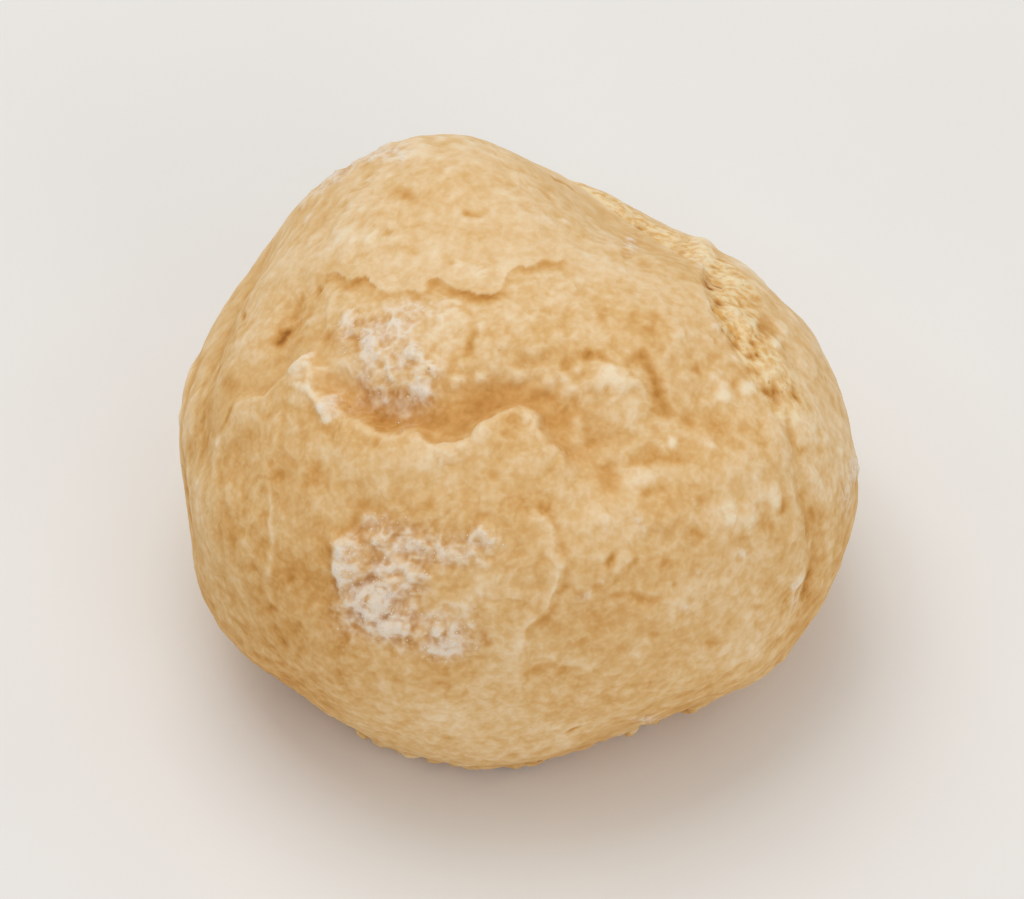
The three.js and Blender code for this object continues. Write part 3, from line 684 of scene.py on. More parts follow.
def depth_in(points, normals, times):
    """(smoothed point - point) . normal in mm: above 0 in a dip, below 0 on a bump."""
    return ((smoothed_points(points, times) - points) * normals).sum(axis=1)


if (normals_of(base) * directions).sum() < 0:
    quads = quads[:, ::-1]
outward = (normals_of(base) * directions).sum(axis=1) > 0
print("outward share of the normals:", round(float(outward.mean()), 4))

# %% [markdown]
# ## Placing it on the table
# The body's middle stands GIRTH_HEIGHT above the table, and the bottom settles flat. A hard cut would
# leave a sharp rim, so the height z becomes (z + sqrt(z^2 + r^2)) / 2, which is z well above the table,
# nearly 0 below it, and round between the two.

# %% Foot and place
FOOT_ROUND = 1.3
RIM_WIDTH, RIM_PASSES = 2.0, 14
FORM_PASSES, SMALL_PASSES, TINY_PASSES = 60, 24, 4
crust_mm = base + directions * height[:, None] + smoothed_points(slide, 3)
crust_mm[:, 2] += GIRTH_HEIGHT
under = ramp(-crust_mm[:, 2], -1.5, 1.0)
crust_mm[:, 2] = (crust_mm[:, 2] + np.sqrt(crust_mm[:, 2] ** 2 + FOOT_ROUND**2)) / 2
crust_mm[:, 2] -= crust_mm[:, 2].min()
crust_mm = smoothed_points(crust_mm, 2)
torn_rim = bell(tear_distance[SIDE], 0, RIM_WIDTH)[:, None]
crust_mm += torn_rim * (smoothed_points(crust_mm, RIM_PASSES) - crust_mm)
normals = normals_of(crust_mm)
form_depth = depth_in(crust_mm, normals, FORM_PASSES)
print("bun, mm:", np.round(crust_mm.max(axis=0) - crust_mm.min(axis=0), 2))
print("depth of the forms, mm:", np.round(np.percentile(form_depth, [1, 50, 99]), 3))

# %% [markdown]
# ## Where the crust is rough, floury or torn open
# The band between the plates tore last and is the roughest, and the valley's floor is smooth. The side
# tear gapes at the top right, where the crumb inside shows, pale and full of holes. Icing sugar was
# dusted on by hand and caught in two places, with a few stray specks. Each of these is a mask, a number
# from 0 to 1 at every point, drawn as a soft blot on the crown map or by distance from a tear.

# %% Masks by place and by distance from a tear
great, side_gap = tear_distance[GREAT], tear_distance[SIDE]
middle_band = np.minimum(patch(3, 8, 17, 5.5) + 0.6 * patch(-14, 9, 7, 4), 1)
valley = bell(great, 1.8, 1.8) * (out > 0)
lip = bell(great, -0.9, 1.0) * ramp(across, -20, -15) * ramp(-across, -8, -4) * (out > 0)
low_edge = bell(out, 1, 3) * ramp(-up, 17, 24) * ramp(across, -24, -16)
opened = ramp(side_gap, -0.5, 0.5) * (1 - ramp(side_gap, 4.2, 7.8)) * ramp(up, -1.0, 6.0)
opened *= ramp(out, -16, -6) * (across > 0)
print("torn open:", round(float((opened > 0.5).mean()), 3), "of the crust")

# %% Where icing sugar lies
SUGAR = [  # crown place, half width, half height, strength
    (-10.8, 7.4, 3.6, 3.4, 0.6), (-11.6, 3.4, 3, 1.4, 0.52), (-12.6, 10.6, 3, 1.6, 0.56),
    (-9, 12.4, 2.4, 1.2, 0.35), (-15.4, 11.2, 1, 1.3, 0.45), (-7.4, 6.4, 1.1, 0.7, 0.6),
    (-8.6, 4.6, 1.6, 1, 0.5), (-14.6, 5.4, 0.8, 1.2, 0.5), (-17.2, 2.9, 0.7, 1.6, 0.55),
    (-19, 5.4, 1.6, 2.4, 0.25), (-13.1, 9.3, 0.8, 0.5, 0.5), (-9.4, 8, 0.6, 0.4, 0.5),
    (-14.6, -11.4, 1.8, 2.6, 0.5), (-13.8, -15.2, 2.4, 2, 0.48), (-11, -13.4, 3.4, 2.8, 0.46),
    (-10, -16.8, 4.8, 2, 0.48), (-12.6, -8.6, 2.6, 1.6, 0.5), (-8.6, -9.6, 3, 2.4, 0.46),
    (-3, -8.8, 2, 1.4, 0.5), (-5.2, -10.4, 2, 1.4, 0.35), (-5.4, -17, 2.4, 1.6, 0.5),
    (-6.6, -19.4, 2.8, 1, 0.45), (-3.6, -18.4, 1.6, 1.4, 0.35), (-6.4, -13.4, 1.6, 1.8, -0.3),
    (-11, -13.6, 5, 3.6, 0.16), (-11, 27.4, 1.9, 0.8, 0.6), (11.2, 18.4, 0.8, 1.3, 0.55),
    (6.4, 27.6, 1.6, 0.8, 0.4), (5.6, 28.4, 2, 0.8, 0.45), (32.2, -2.6, 0.6, 1.2, 0.9),
    (31.2, -5, 0.8, 1.8, 0.6), (12.8, -26.5, 1.2, 0.5, 0.6), (26.4, -13.3, 0.8, 0.8, 0.8),
    (26.3, -14.9, 0.5, 1.1, 0.5), (11.6, -7.4, 0.5, 0.8, 0.6), (6.3, -14, 0.8, 0.5, 0.55),
    (16.9, -12.2, 0.7, 0.5, 0.5), (15.6, -15.2, 0.6, 0.5, 0.45), (21, -10.3, 0.6, 0.5, 0.5),
    (20.6, -15, 0.4, 0.4, 0.4), (8, -12.6, 0.5, 0.4, 0.4), (18.9, 10.6, 0.5, 0.4, 0.4),
    (-17.4, 18.4, 5, 3.4, 0.14), (19.5, 8.6, 1.6, 3, 0.16),
]
SUGAR_RAGGED, SUGAR_SEED = 0.6, 700
SUGAR_BEHIND = [(214, 36, 4.5), (222, 30, 3.0), (134, 8, 2.0)]  # turn, above, spread
sugar = np.zeros(COUNT)
for number, (x, y, half_width, half_height, strength) in enumerate(SUGAR):
    sugar += strength * patch(x, y, half_width, half_height, SUGAR_RAGGED, SUGAR_SEED + number)
for turn, above, spread in SUGAR_BEHIND:
    blot = np.linalg.norm(base - round_the_girth([turn], [above]), axis=1) / spread
    sugar += 0.6 * np.exp(-(blot**2) * (1 + 0.8 * octaves(base, 2.0, 690, 2)))
sugar = np.clip(sugar + curl_sugar, 0, 1)
print("floury share of the crust:", round(float((sugar > 0.3).mean()), 3))

# %% [markdown]
# ## The crust's own texture
# Close up, choux crust is leathery: low blisters a few millimetres across, knobbly grains on top of them,
# thin wrinkles, and a few open pores where steam came out. Modelled height catches the light properly at
# every angle, so all of it down to half a millimetre is in the mesh, and only finer grain is left to the
# material.

# %% Fine relief
near_slant = bell(tear_distance[SLANTING], 0, 2.0)
rough = 0.68 + 0.30 * middle_band - 0.30 * valley + 0.1 * opened
rough -= 0.4 * under + 0.6 * near_slant + 0.25 * ramp(-out, -9, 3)
soft_lumps = 0.12 * octaves(base, 3.4, 400, 2) + 0.11 * octaves(base, 1.6, 410, 2)
knobbly, knob_name = scattered(base, 1.5, 450)
knobs = 0.22 * bell(knobbly, 0, 0.40) * (0.3 + knob_name)
grain = 0.05 * octaves(base, 0.9, 420, 2)
blisters, blister_name = scattered(base, 2.0, 445)
torn_lumps = bell(blisters, 0, 0.62) * (0.2 + blister_name)
rags, rag_name = scattered(pushed(base, 0.3, 447), 1.6, 446)
edge_rags = 1.5 * (rag_name - 0.5) * (1 - bell(rags, 1, 0.4)) + 0.3 * torn_lumps
wrinkle_field = noise(base, 2.4, 430) + 0.5 * noise(base, 1.1, 431)
wrinkles = -0.06 * bell(wrinkle_field, 0, 0.18) * ramp(noise(base, 6.0, 432), -0.1, 0.5)
pore, pore_name = scattered(base, 3.2, 440)
pores = bell(pore, 0, 0.11) * (pore_name > 0.78) * (1 - under) * (1 - near_slant)
holes, hole_name = scattered(base, 1.7, 460)
crumb_holes = bell(holes, 0, 0.34) * (hole_name > 0.35) * opened
print("pores:", int((pores > 0.5).sum()), "points, crumb holes:", int((crumb_holes > 0.5).sum()), "points")

# %% Sugar clumps, and all the relief together
worms = 1 - np.abs(noise(pushed(base, 0.5, 475), 1.5, 470)) / 0.26
blobs = octaves(base, 2.0, 471, 3)
bubbles, bubble_name = scattered(base, 1.25, 481)
bubble_tops = bell(bubbles, 0, 0.42) * (0.4 + 0.6 * bubble_name)
sugar_clumps = 0.35 * np.maximum(worms, 0) + 0.5 * ramp(blobs, -0.3, 0.6) + 0.5 * bubble_tops
sugar_clumps = np.clip(sugar_clumps, 0, 1)
fine = rough * (soft_lumps + knobs * (0.35 + 0.35 * middle_band + 0.3 * opened) + grain) + wrinkles
fine += 0.36 * torn_lumps * np.clip(lip + 0.5 * low_edge + 0.4 * opened, 0, 1)
fine += 0.82 * edge_rags * low_edge
fine += -0.12 * pores - 0.14 * crumb_holes + sugar * (0.55 * sugar_clumps - 0.08)
fine -= 0.12 * under * np.maximum(octaves(base, 1.5, 480, 2), 0)
crust_mm = crust_mm + normals * fine[:, None]
crust_mm[:, 2] = np.maximum(crust_mm[:, 2], 0)
normals = normals_of(crust_mm)
print("fine relief, mm:", np.round(np.percentile(fine, [1, 50, 99]), 3))

# %% Centre it on the frame's bun
middle = (crust_mm.max(axis=0) + crust_mm.min(axis=0)) / 2
shift = np.array([(node_low[0] + node_high[0]) / 2 - middle[0] * FIT,
                  (node_low[1] + node_high[1]) / 2 - middle[1] * FIT, node_low[2]])


def placed(points_mm):
    """Lesson millimetres -> metres in the frame: (FIT x point + shift) x 0.001."""
    return (np.asarray(points_mm) * FIT + shift) * MM


own_size = (crust_mm.max(axis=0) - crust_mm.min(axis=0)) * FIT
print("own size, mm:", np.round(own_size, 2), "moved", np.round(shift, 2))

# %% [markdown]
# ## Browning and painted shade
# One number at each point says how far the crust has baked, from cream to brown, with painted shade
# added in. It starts from an uneven field, as in any oven, then takes the browning of tears and dips,
# partly painted shade, the depth at three sizes, which browns the hollows as painted shade and pales
# the tops, the paleness of stretched lips, some wide patches, and painted shade darker towards the
# bottom. Three more numbers say where crumb shows, where sugar lies thin, and how strong the fine
# texture is. The material turns them into colour.

# %% Browning and painted shade at each point
tiny_depth = depth_in(crust_mm, normals, TINY_PASSES)
small_depth = depth_in(crust_mm, normals, SMALL_PASSES)
browning_and_shade = 0.34 + 0.06 * octaves(base, 12, 500, 2) + 0.08 * octaves(base, 4.0, 510, 2)
browning_and_shade += 0.09 * octaves(base, 1.8, 520, 3)
browning_and_shade += bake_and_shade - 0.22 * np.clip(pale, 0, 1.2)
# Painted shade: hollows browned by their depth at three sizes, bumps paled; pores and crumb holes too.
near_upper = bell(tear_distance[UPPER], 0, 1.2)
dip_share = (1 - 0.8 * valley) * (1 - 0.8 * near_upper)
browning_and_shade += dip_share * (1.3 * np.clip(tiny_depth, -0.06, 0.06) + 1.0 * np.clip(small_depth, -0.12, 0.14))
browning_and_shade += 0.06 * dip_share * np.clip(form_depth, -0.6, 0.8)
browning_and_shade += 0.16 * pores + 0.22 * crumb_holes
# Wide patches of browning; the browner ones low on the left are painted shade.
BAKED_PATCHES = [  # crown place, half width, half height, browning
    (-22, -9, 9, 13, 0.13), (0, -14, 24, 14, 0.08), (12, 12, 6, 6, 0.04), (-17, 18, 5, 4, -0.08),
    (30, 2, 3, 5, -0.09), (-21, -22, 6, 5, 0.05), (-23, -3, 4, 6, 0.05), (-17, -6, 4, 4, -0.1),
    (13, 13, 5, 5, 0.05), (-3, -27, 9, 4, -0.07), (30, -8, 4, 9, 0.03), (-21, -18, 7, 8, 0.05),
    (20, -19, 4, 4, -0.09), (3.4, 3.8, 3.4, 2, 0.06),
]
for *where, brown in BAKED_PATCHES:
    browning_and_shade += brown * patch(*where)
# Painted shade: browner towards the bottom and on the lower sides, and paler at the top.
browning_and_shade += 0.05 * ramp(-up, 14, 22) * ramp(out, -10, -4) - 0.035 * ramp(up, 12, 18)
browning_and_shade += 0.08 * ramp(across, 23, 28) * ramp(-up, 4, 10) * ramp(out, -12, -6)
browning_and_shade += 0.12 * ramp(-out, -14, 0) * ramp(-up, -4, 6)
browning_and_shade += 0.03 * ramp(-up, 8, 16) + 0.03 * ramp(-across, 12, 24)
browning_and_shade += 0.30 * under + 0.14 * ramp(-crust_mm[:, 2], -5, -0.5)
browning_and_shade = np.clip(browning_and_shade, 0, 1)
print("browning, 5% 50% 95%:", np.round(np.percentile(browning_and_shade, [5, 50, 95]), 2))

# %% Crumb, sugar film and strength of the texture at each point
crumbly = opened * (1 + 0.4 * octaves(base, 2.0, 530, 2))
crumbly -= 1.6 * np.clip(bake_and_shade, 0, 0.5) + 0.6 * crumb_holes
# Painted shade: creases in the torn seam and the foot of its lip are browned, with less crumb colour.
crease = ramp(tiny_depth, 0.0, 0.05) * ramp(small_depth, -0.02, 0.12)
lip_foot = opened * bell(side_gap, 0.4, 0.8) * ramp(noise(base, 1.6, 545), -0.2, 0.4)
crumbly = np.clip(crumbly - 0.5 * crease - 0.6 * lip_foot, 0, 1)
browning_and_shade += 0.10 * crease * opened + 0.14 * lip_foot
powder = np.clip(sugar * (0.45 + 0.85 * sugar_clumps), 0, 1)
browning_and_shade = np.clip(browning_and_shade + 0.08 * sugar + 0.12 * sugar * (0.5 - sugar_clumps), 0, 1)
texture = 1 - 0.25 * valley - 0.25 * ramp(up, 13, 17) * ramp(out, -6, 2) - 0.50 * ramp(-out, -13, 1)
texture = np.clip(texture - 0.30 * patch(15, 13, 6, 5) + 0.3 * powder, 0.25, 1.5)
print("crumb on", round(float((crumbly > 0.5).mean()), 3), "of the crust, texture",
      np.round(np.percentile(texture, [5, 50, 95]), 2))

# %% [markdown]
# ## Making meshes from arrays
# Blender can take whole arrays at once with foreach_set, which is far faster than adding vertices one
# by one. The same helper makes every mesh in this lesson, and can hang extra numbers on its points for
# the materials to read.

# %% Mesh helper
def make_piece(title, points_mm, faces, material, numbers=None):
    """A smooth-shaded mesh object at the origin, from points in lesson millimetres and equal-sided faces."""
    corners = faces.shape[1]
    mesh = bpy.data.meshes.new(title)
    mesh.vertices.add(len(points_mm))
    mesh.vertices.foreach_set("co", placed(points_mm).astype(np.float32).ravel())
    mesh.loops.add(faces.size)
    mesh.loops.foreach_set("vertex_index", faces.astype(np.int32).ravel())
    mesh.polygons.add(len(faces))
    mesh.polygons.foreach_set("loop_start", np.arange(0, faces.size, corners, dtype=np.int32))
    mesh.polygons.foreach_set("use_smooth", np.ones(len(faces), bool))
    for key, values in (numbers or {}).items():
        layer = mesh.attributes.new(key, "FLOAT", "POINT")
        layer.data.foreach_set("value", values.astype(np.float32))
    mesh.update(calc_edges=True)
    mesh.validate()
    piece = bpy.data.objects.new(title, mesh)
    bpy.context.scene.collection.objects.link(piece)
    piece.data.materials.append(material)
    print(title, len(points_mm), "points,", len(faces) * (corners - 2), "triangles")
    return piece

# %% [markdown]
# ## Materials: small helpers
# Each material is a network of nodes. Every helper here gives back a pair, the node and the output that
# counts, and takes such a pair wherever a socket can be linked, so that a network reads in the order in
# which it works. Colours are written as they look on a screen (0 to 255), while the renderer counts
# light, so one helper turns the first into the second.

# %% Node helpers
def light(red, green, blue):
    """Screen colour 0..255 -> linear light: c / 12.92, or ((c + 0.055) / 1.055)^2.4 above 0.04045."""
    share = np.array([red, green, blue]) / 255
    linear = np.where(share <= 0.04045, share / 12.92, ((share + 0.055) / 1.055) ** 2.4)
    return (*map(float, linear), 1.0)


def feed(tree, node, values):
    """Sets each named or numbered socket to its value, or links it to its (node, output) pair."""
    for key, value in values.items():
        if isinstance(value, tuple) and isinstance(value[0], bpy.types.Node):
            tree.links.new(value[0].outputs[value[1]], node.inputs[key])
        else:
            node.inputs[key].default_value = value


def add(tree, kind, values=None, **settings):
    """A node of this kind, with these settings, fed with these values."""
    node = tree.nodes.new(kind)
    for key, value in settings.items():
        setattr(node, key, value)
    feed(tree, node, values or {})
    return node


def maths(tree, operation, *values):
    """A Math node over these values."""
    return add(tree, "ShaderNodeMath", dict(enumerate(values)), operation=operation), 0


def ranged(tree, value, start, end, low=0.0, high=1.0, bend="LINEAR"):
    """low + (high - low) x t, with t = (value - start) / (end - start) kept from 0 to 1."""
    limits = {"Value": value, "From Min": start, "From Max": end, "To Min": low, "To Max": high}
    return add(tree, "ShaderNodeMapRange", limits, interpolation_type=bend), 0


def grains(tree, place, size_mm, detail=2.0, output="Fac"):
    """A noise texture with lumps size_mm across, read at the given place."""
    values = {"Vector": place, "Scale": 1 / (size_mm * MM), "Detail": detail, "Roughness": 0.5}
    return add(tree, "ShaderNodeTexNoise", values), output


def colour_steps(tree, share, steps):
    """A colour ramp through the (share, screen colour) steps."""
    node = add(tree, "ShaderNodeValToRGB", {"Fac": share})
    elements = node.color_ramp.elements
    while len(elements) < len(steps):
        elements.new(0.5)
    for element, (position, colour) in zip(elements, steps):
        element.position = position
        element.color = light(*colour)
    return node, "Color"


def mixed(tree, share, first, second):
    """first x (1 - share) + second x share, for colours."""
    return add(tree, "ShaderNodeMix", {0: share, 6: first, 7: second}, data_type="RGBA"), 2


print("cream, in linear light:", np.round(light(240, 212, 168), 3))

# %% [markdown]
# ## Materials: groups and shaders
# An effect that several materials share is built once, as a group with named sockets, and placed in each
# of them. The shader itself, a Principled BSDF, stays in the material, with its plain numbers set on its
# own sockets. Numbers hung on a mesh's points reach a material through an Attribute node.

# %% Group and shader helpers
def new_group(title, inputs, outputs):
    """An empty shader group with these (name, kind, default) inputs and (name, kind) outputs."""
    tree = bpy.data.node_groups.new(title, "ShaderNodeTree")
    for name, kind, default in inputs:
        socket = tree.interface.new_socket(name=name, in_out="INPUT", socket_type=kind)
        if default is not None:
            socket.default_value = default
    for name, kind in outputs:
        tree.interface.new_socket(name=name, in_out="OUTPUT", socket_type=kind)
    return tree, tree.nodes.new("NodeGroupInput"), tree.nodes.new("NodeGroupOutput")


def grouped(tree, group, **values):
    """A group's first output, with the group's inputs fed with these values."""
    return add(tree, "ShaderNodeGroup", values, node_tree=group), 0


def numbers_read(tree, name):
    """The numbers of this name that hang on the mesh's points."""
    return add(tree, "ShaderNodeAttribute", attribute_name=name), "Fac"


def surface_material(title, **values):
    """(material, node tree, Principled BSDF with these values, Object coordinates)."""
    material = bpy.data.materials.new(title)
    material.use_nodes = True
    tree = material.node_tree
    tree.nodes.clear()
    shader = add(tree, "ShaderNodeBsdfPrincipled", {key.replace("_", " "): v for key, v in values.items()})
    add(tree, "ShaderNodeOutputMaterial", {"Surface": (shader, "BSDF")})
    return material, tree, shader, (add(tree, "ShaderNodeTexCoord"), "Object")


print("node groups:", len(bpy.data.node_groups), "materials:", len(bpy.data.materials))

# %% [markdown]
# ## Bubbly lace, shared by crust and crumbs
# Tiny bubbles burst all over the skin as it dries, and leave a fine web of pale rims half a millimetre to
# a millimetre apart, with darker hollows between. A Voronoi texture's distance to the nearest cell edge
# gives the rims, after its coordinates are pushed about by noise, and a second noise breaks them up into
# beads. The group gives one value, 0 in the hollows and 1 on the rims, for colour and relief alike.

# %% Bubbly lace group
WOBBLE_MM, PUSH_MM, RIM_CELL_MM, BEAD_CELL_MM, CLOUD_MM = 1.3, 0.8, 1.0, 0.62, 0.9
lace, lace_in, lace_out = new_group(
    "Bubbly lace", [("Place", "NodeSocketVector", None)], [("Lace", "NodeSocketFloat")])
lace_place = (lace_in, "Place")
wobble = grains(lace, lace_place, WOBBLE_MM, 1.0, "Color")
push = add(lace, "ShaderNodeVectorMath", {0: wobble, 1: (0.5, 0.5, 0.5)}, operation="SUBTRACT")
push = add(lace, "ShaderNodeVectorMath", {0: (push, 0), "Scale": PUSH_MM * MM}, operation="SCALE")
pushed_place = (add(lace, "ShaderNodeVectorMath", {0: lace_place, 1: (push, 0)}, operation="ADD"), 0)
cells = add(lace, "ShaderNodeTexVoronoi", {"Vector": pushed_place, "Scale": 1 / (RIM_CELL_MM * MM)},
            feature="DISTANCE_TO_EDGE")
rim = ranged(lace, (cells, "Distance"), 0.0, 0.34, 1.0, 0.0, "SMOOTHSTEP")
dots = add(lace, "ShaderNodeTexVoronoi", {"Vector": pushed_place, "Scale": 1 / (BEAD_CELL_MM * MM)},
           feature="F1")
beads = ranged(lace, (dots, "Distance"), 0.10, 0.70, 1.0, 0.0, "SMOOTHSTEP")
cloud = grains(lace, lace_place, CLOUD_MM, 1.5)
broken = ranged(lace, cloud, 0.42, 0.60)
pattern = (add(lace, "ShaderNodeMix", {0: broken, 2: beads, 3: rim}, data_type="FLOAT"), 0)
cloud_share = ranged(lace, cloud, 0.25, 0.75, 0.05, 0.65)
feed(lace, lace_out, {"Lace": maths(lace, "MULTIPLY_ADD", pattern, 0.42, cloud_share)})
print("lace group nodes:", len(lace.nodes))

# %% [markdown]
# ## Baked colour, shared by crust and crumbs
# Choux goes from cream through straw and gold to brown as it bakes. A colour ramp holds those steps, and
# the lace and a wider noise move each place a little along the ramp, so that no patch is one flat
# colour: the rims of the bubbles are paler and the hollows more golden. The browning fed in carries
# the crust's painted shade as well.

# %% Baked colour group
BAKED_STEPS = [(0.0, (244, 225, 192)), (0.2, (237, 207, 163)), (0.4, (227, 187, 129)),
               (0.6, (215, 164, 97)), (0.8, (197, 140, 70)), (1.0, (160, 103, 44))]
baked, baked_in, baked_out = new_group(
    "Baked colour",
    [("Place", "NodeSocketVector", None), ("Browning", "NodeSocketFloat", 0.3),
     ("Lace", "NodeSocketFloat", 0.5), ("Mottle", "NodeSocketFloat", 0.2)],
    [("Colour", "NodeSocketColor")])
uneven = maths(baked, "SUBTRACT", grains(baked, (baked_in, "Place"), 1.8, 2.0), (baked_in, "Lace"))
moved = maths(baked, "MULTIPLY_ADD", uneven, (baked_in, "Mottle"), (baked_in, "Browning"))
feed(baked, baked_out, {"Colour": colour_steps(baked, moved, BAKED_STEPS)})
print("baked colour group nodes:", len(baked.nodes))

# %% [markdown]
# ## Doughy grain, shared by crust, crumbs and sugar
# A Bump node bends the normals as if the surface had a height, which costs far less than a finer mesh.
# The crust and the crumbs give it their lace as the height, and the sugar gives it a finer noise.
# Strength is an input, so each material can be rougher or smoother.

# %% Doughy grain group
GRAIN_HEIGHT_MM = 0.18
doughy, doughy_in, doughy_out = new_group(
    "Doughy grain",
    [("Height", "NodeSocketFloat", 0.5), ("Strength", "NodeSocketFloat", 0.5)],
    [("Normal", "NodeSocketVector")])
bump = add(doughy, "ShaderNodeBump", {
    "Strength": (doughy_in, "Strength"), "Distance": GRAIN_HEIGHT_MM * MM,
    "Height": (doughy_in, "Height")})
feed(doughy, doughy_out, {"Normal": (bump, "Normal")})
print("grain group nodes:", len(doughy.nodes))

# %% [markdown]
# ## Crust material
# The crust reads its browning, with the painted shade folded into it, from the mesh, and turns it into
# colour with the shared group. Where the dough is torn open the colour goes to a pale butter yellow, and
# where icing sugar lies thin it is mixed with white through a broken-up mask, as powder catches on grains
# first. Dough lets a little light in, so a little subsurface scattering softens it; its amounts are the
# same everywhere.

# %% Crust material
TORN_STEPS = [(0.36, (228, 174, 92)), (0.58, (250, 229, 182))]
SUGAR_FILM = (239, 228, 214)
MOTTLE, GRAIN_STRENGTH, TORN_SHARE, FILM_SHARE = 0.235, 0.24, 0.7, 0.82
crust_material, tree, shader, place = surface_material(
    "Baked crust", Roughness=0.78, IOR=1.42, Specular_IOR_Level=0.18,
    Subsurface_Weight=0.22, Subsurface_Scale=1.0 * MM, Subsurface_Radius=(1.0, 0.7, 0.48))
strength = numbers_read(tree, "texture")
crust_lace = grouped(tree, lace, Place=place)
mottle = maths(tree, "MULTIPLY", strength, MOTTLE)
crust_colour = grouped(
    tree, baked, Place=place, Browning=numbers_read(tree, "browning_and_shade"), Lace=crust_lace, Mottle=mottle)
torn_colour = colour_steps(tree, grains(tree, place, 0.9, 2.0), TORN_STEPS)
torn_share = maths(tree, "MULTIPLY", numbers_read(tree, "crumb"), TORN_SHARE)
with_crumb = mixed(tree, torn_share, crust_colour, torn_colour)
catching = maths(tree, "MULTIPLY_ADD", crust_lace, 1.05, 0.34)
film = maths(tree, "MULTIPLY", catching, numbers_read(tree, "sugar"))
film = ranged(tree, film, 0.02, 0.95, 0.0, FILM_SHARE, "SMOOTHSTEP")
with_sugar = mixed(tree, film, with_crumb, light(*SUGAR_FILM))
relief = maths(tree, "MULTIPLY", strength, GRAIN_STRENGTH)
crust_normal = grouped(tree, doughy, Height=crust_lace, Strength=relief)
feed(tree, shader, {"Base Color": with_sugar, "Normal": crust_normal})
print("crust material nodes:", len(tree.nodes))

# %% The crust
crust_numbers = {"browning_and_shade": browning_and_shade, "crumb": crumbly, "sugar": powder, "texture": texture}
crust = make_piece("crust", crust_mm, quads, crust_material, crust_numbers)
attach(crust, "root")
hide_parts("choux_bun")

# %% [markdown]
# ## Small things on the crust
# Sugar grains and crumbs are real pieces lying on the bun. Placing them by hand would take for ever, so
# squares of the crust are picked by chance, more often where a mask is strong, and a random place
# inside each square gives a point and its normal. A fixed seed makes the chance the same every time.
# Each grain is an icosahedron, the roundest shape that has only twenty faces.

# %% Places on the crust
corners = crust_mm[quads]
diagonals = corners[:, 2] - corners[:, 0], corners[:, 3] - corners[:, 1]
square_area = np.linalg.norm(np.cross(*diagonals), axis=1) / 2


def places_on_crust(weight, count, seed):
    """count places, chosen with chance ~ weight x area: (points, normals, numbers of the squares)."""
    random = np.random.default_rng(seed)
    chance = np.maximum(weight[quads].mean(axis=1), 0) * square_area
    chosen = random.choice(len(quads), count, p=chance / chance.sum())
    u, v = random.uniform(0, 1, (2, count, 1))
    share = ((1 - u) * (1 - v), u * (1 - v), u * v, (1 - u) * v)
    points = sum(part * crust_mm[quads[chosen, k]] for k, part in enumerate(share))
    facing = unit(sum(part * normals[quads[chosen, k]] for k, part in enumerate(share)))
    return points, facing, chosen


print("crust area, mm2:", round(float(square_area.sum())))

# %% One grain, an icosahedron
FLATTENED = 0.5
GOLDEN = (1 + 5**0.5) / 2
ICOSA_POINTS = unit(np.array([(s, t * GOLDEN, 0) for s in (-1, 1) for t in (-1, 1)]))
ICOSA_POINTS = np.vstack([np.roll(ICOSA_POINTS, k, axis=1) for k in range(3)])
apart = np.linalg.norm(ICOSA_POINTS[:, None] - ICOSA_POINTS[None], axis=2)
touching = (apart > 0.1) & (apart < 1.1)
CORNERS = len(ICOSA_POINTS)
threes = [(i, j, k) for i in range(CORNERS) for j in range(i + 1, CORNERS) for k in range(j + 1, CORNERS)]
ICOSA_FACES = np.array([(i, j, k) for i, j, k in threes
                        if touching[i, j] and touching[j, k] and touching[i, k]])
a, b, c = (ICOSA_POINTS[ICOSA_FACES[:, k]] for k in range(3))
inward = (np.cross(b - a, c - a) * a).sum(axis=1) < 0
ICOSA_FACES[inward] = ICOSA_FACES[inward][:, ::-1]


def grains_mesh(points, facing, sizes, flat, uneven, seed):
    """A grain for each point: a turned icosahedron, radius x (1 +- uneven), squashed along the normal.

    The middle lies above the place by 0.15 of the grain's height, so each grain is sunk in a little.
    """
    random = np.random.default_rng(seed)
    count = len(points)
    turn = np.linalg.qr(random.normal(size=(count, 3, 3)))[0]
    shape = np.einsum("nij,pj->npi", turn, ICOSA_POINTS)
    shape *= sizes[:, None, None] / 2 * random.uniform(1 - uneven, 1 + uneven, (count, CORNERS, 1))
    along = (shape * facing[:, None]).sum(axis=2, keepdims=True)
    shape = shape - along * (1 - flat) * facing[:, None]
    middles = points + facing * (0.15 * flat * sizes)[:, None]
    faces = ICOSA_FACES[None] + CORNERS * np.arange(count)[:, None, None]
    mirrored = np.linalg.det(turn) < 0
    faces[mirrored] = faces[mirrored][:, :, ::-1]
    return (shape + middles[:, None]).reshape(-1, 3), faces.reshape(-1, 3)


print("icosahedron:", CORNERS, "points,", len(ICOSA_FACES), "faces")

# %% [markdown]
# ## Icing sugar
# Icing sugar clings in grains and small clumps. From a distance it is a white bloom, which the crust's
# own material draws, but the grains on its lumps catch the light one by one, so those are made as one
# piece, a tenth to a quarter of a millimetre across, with a few strays all over the crust.

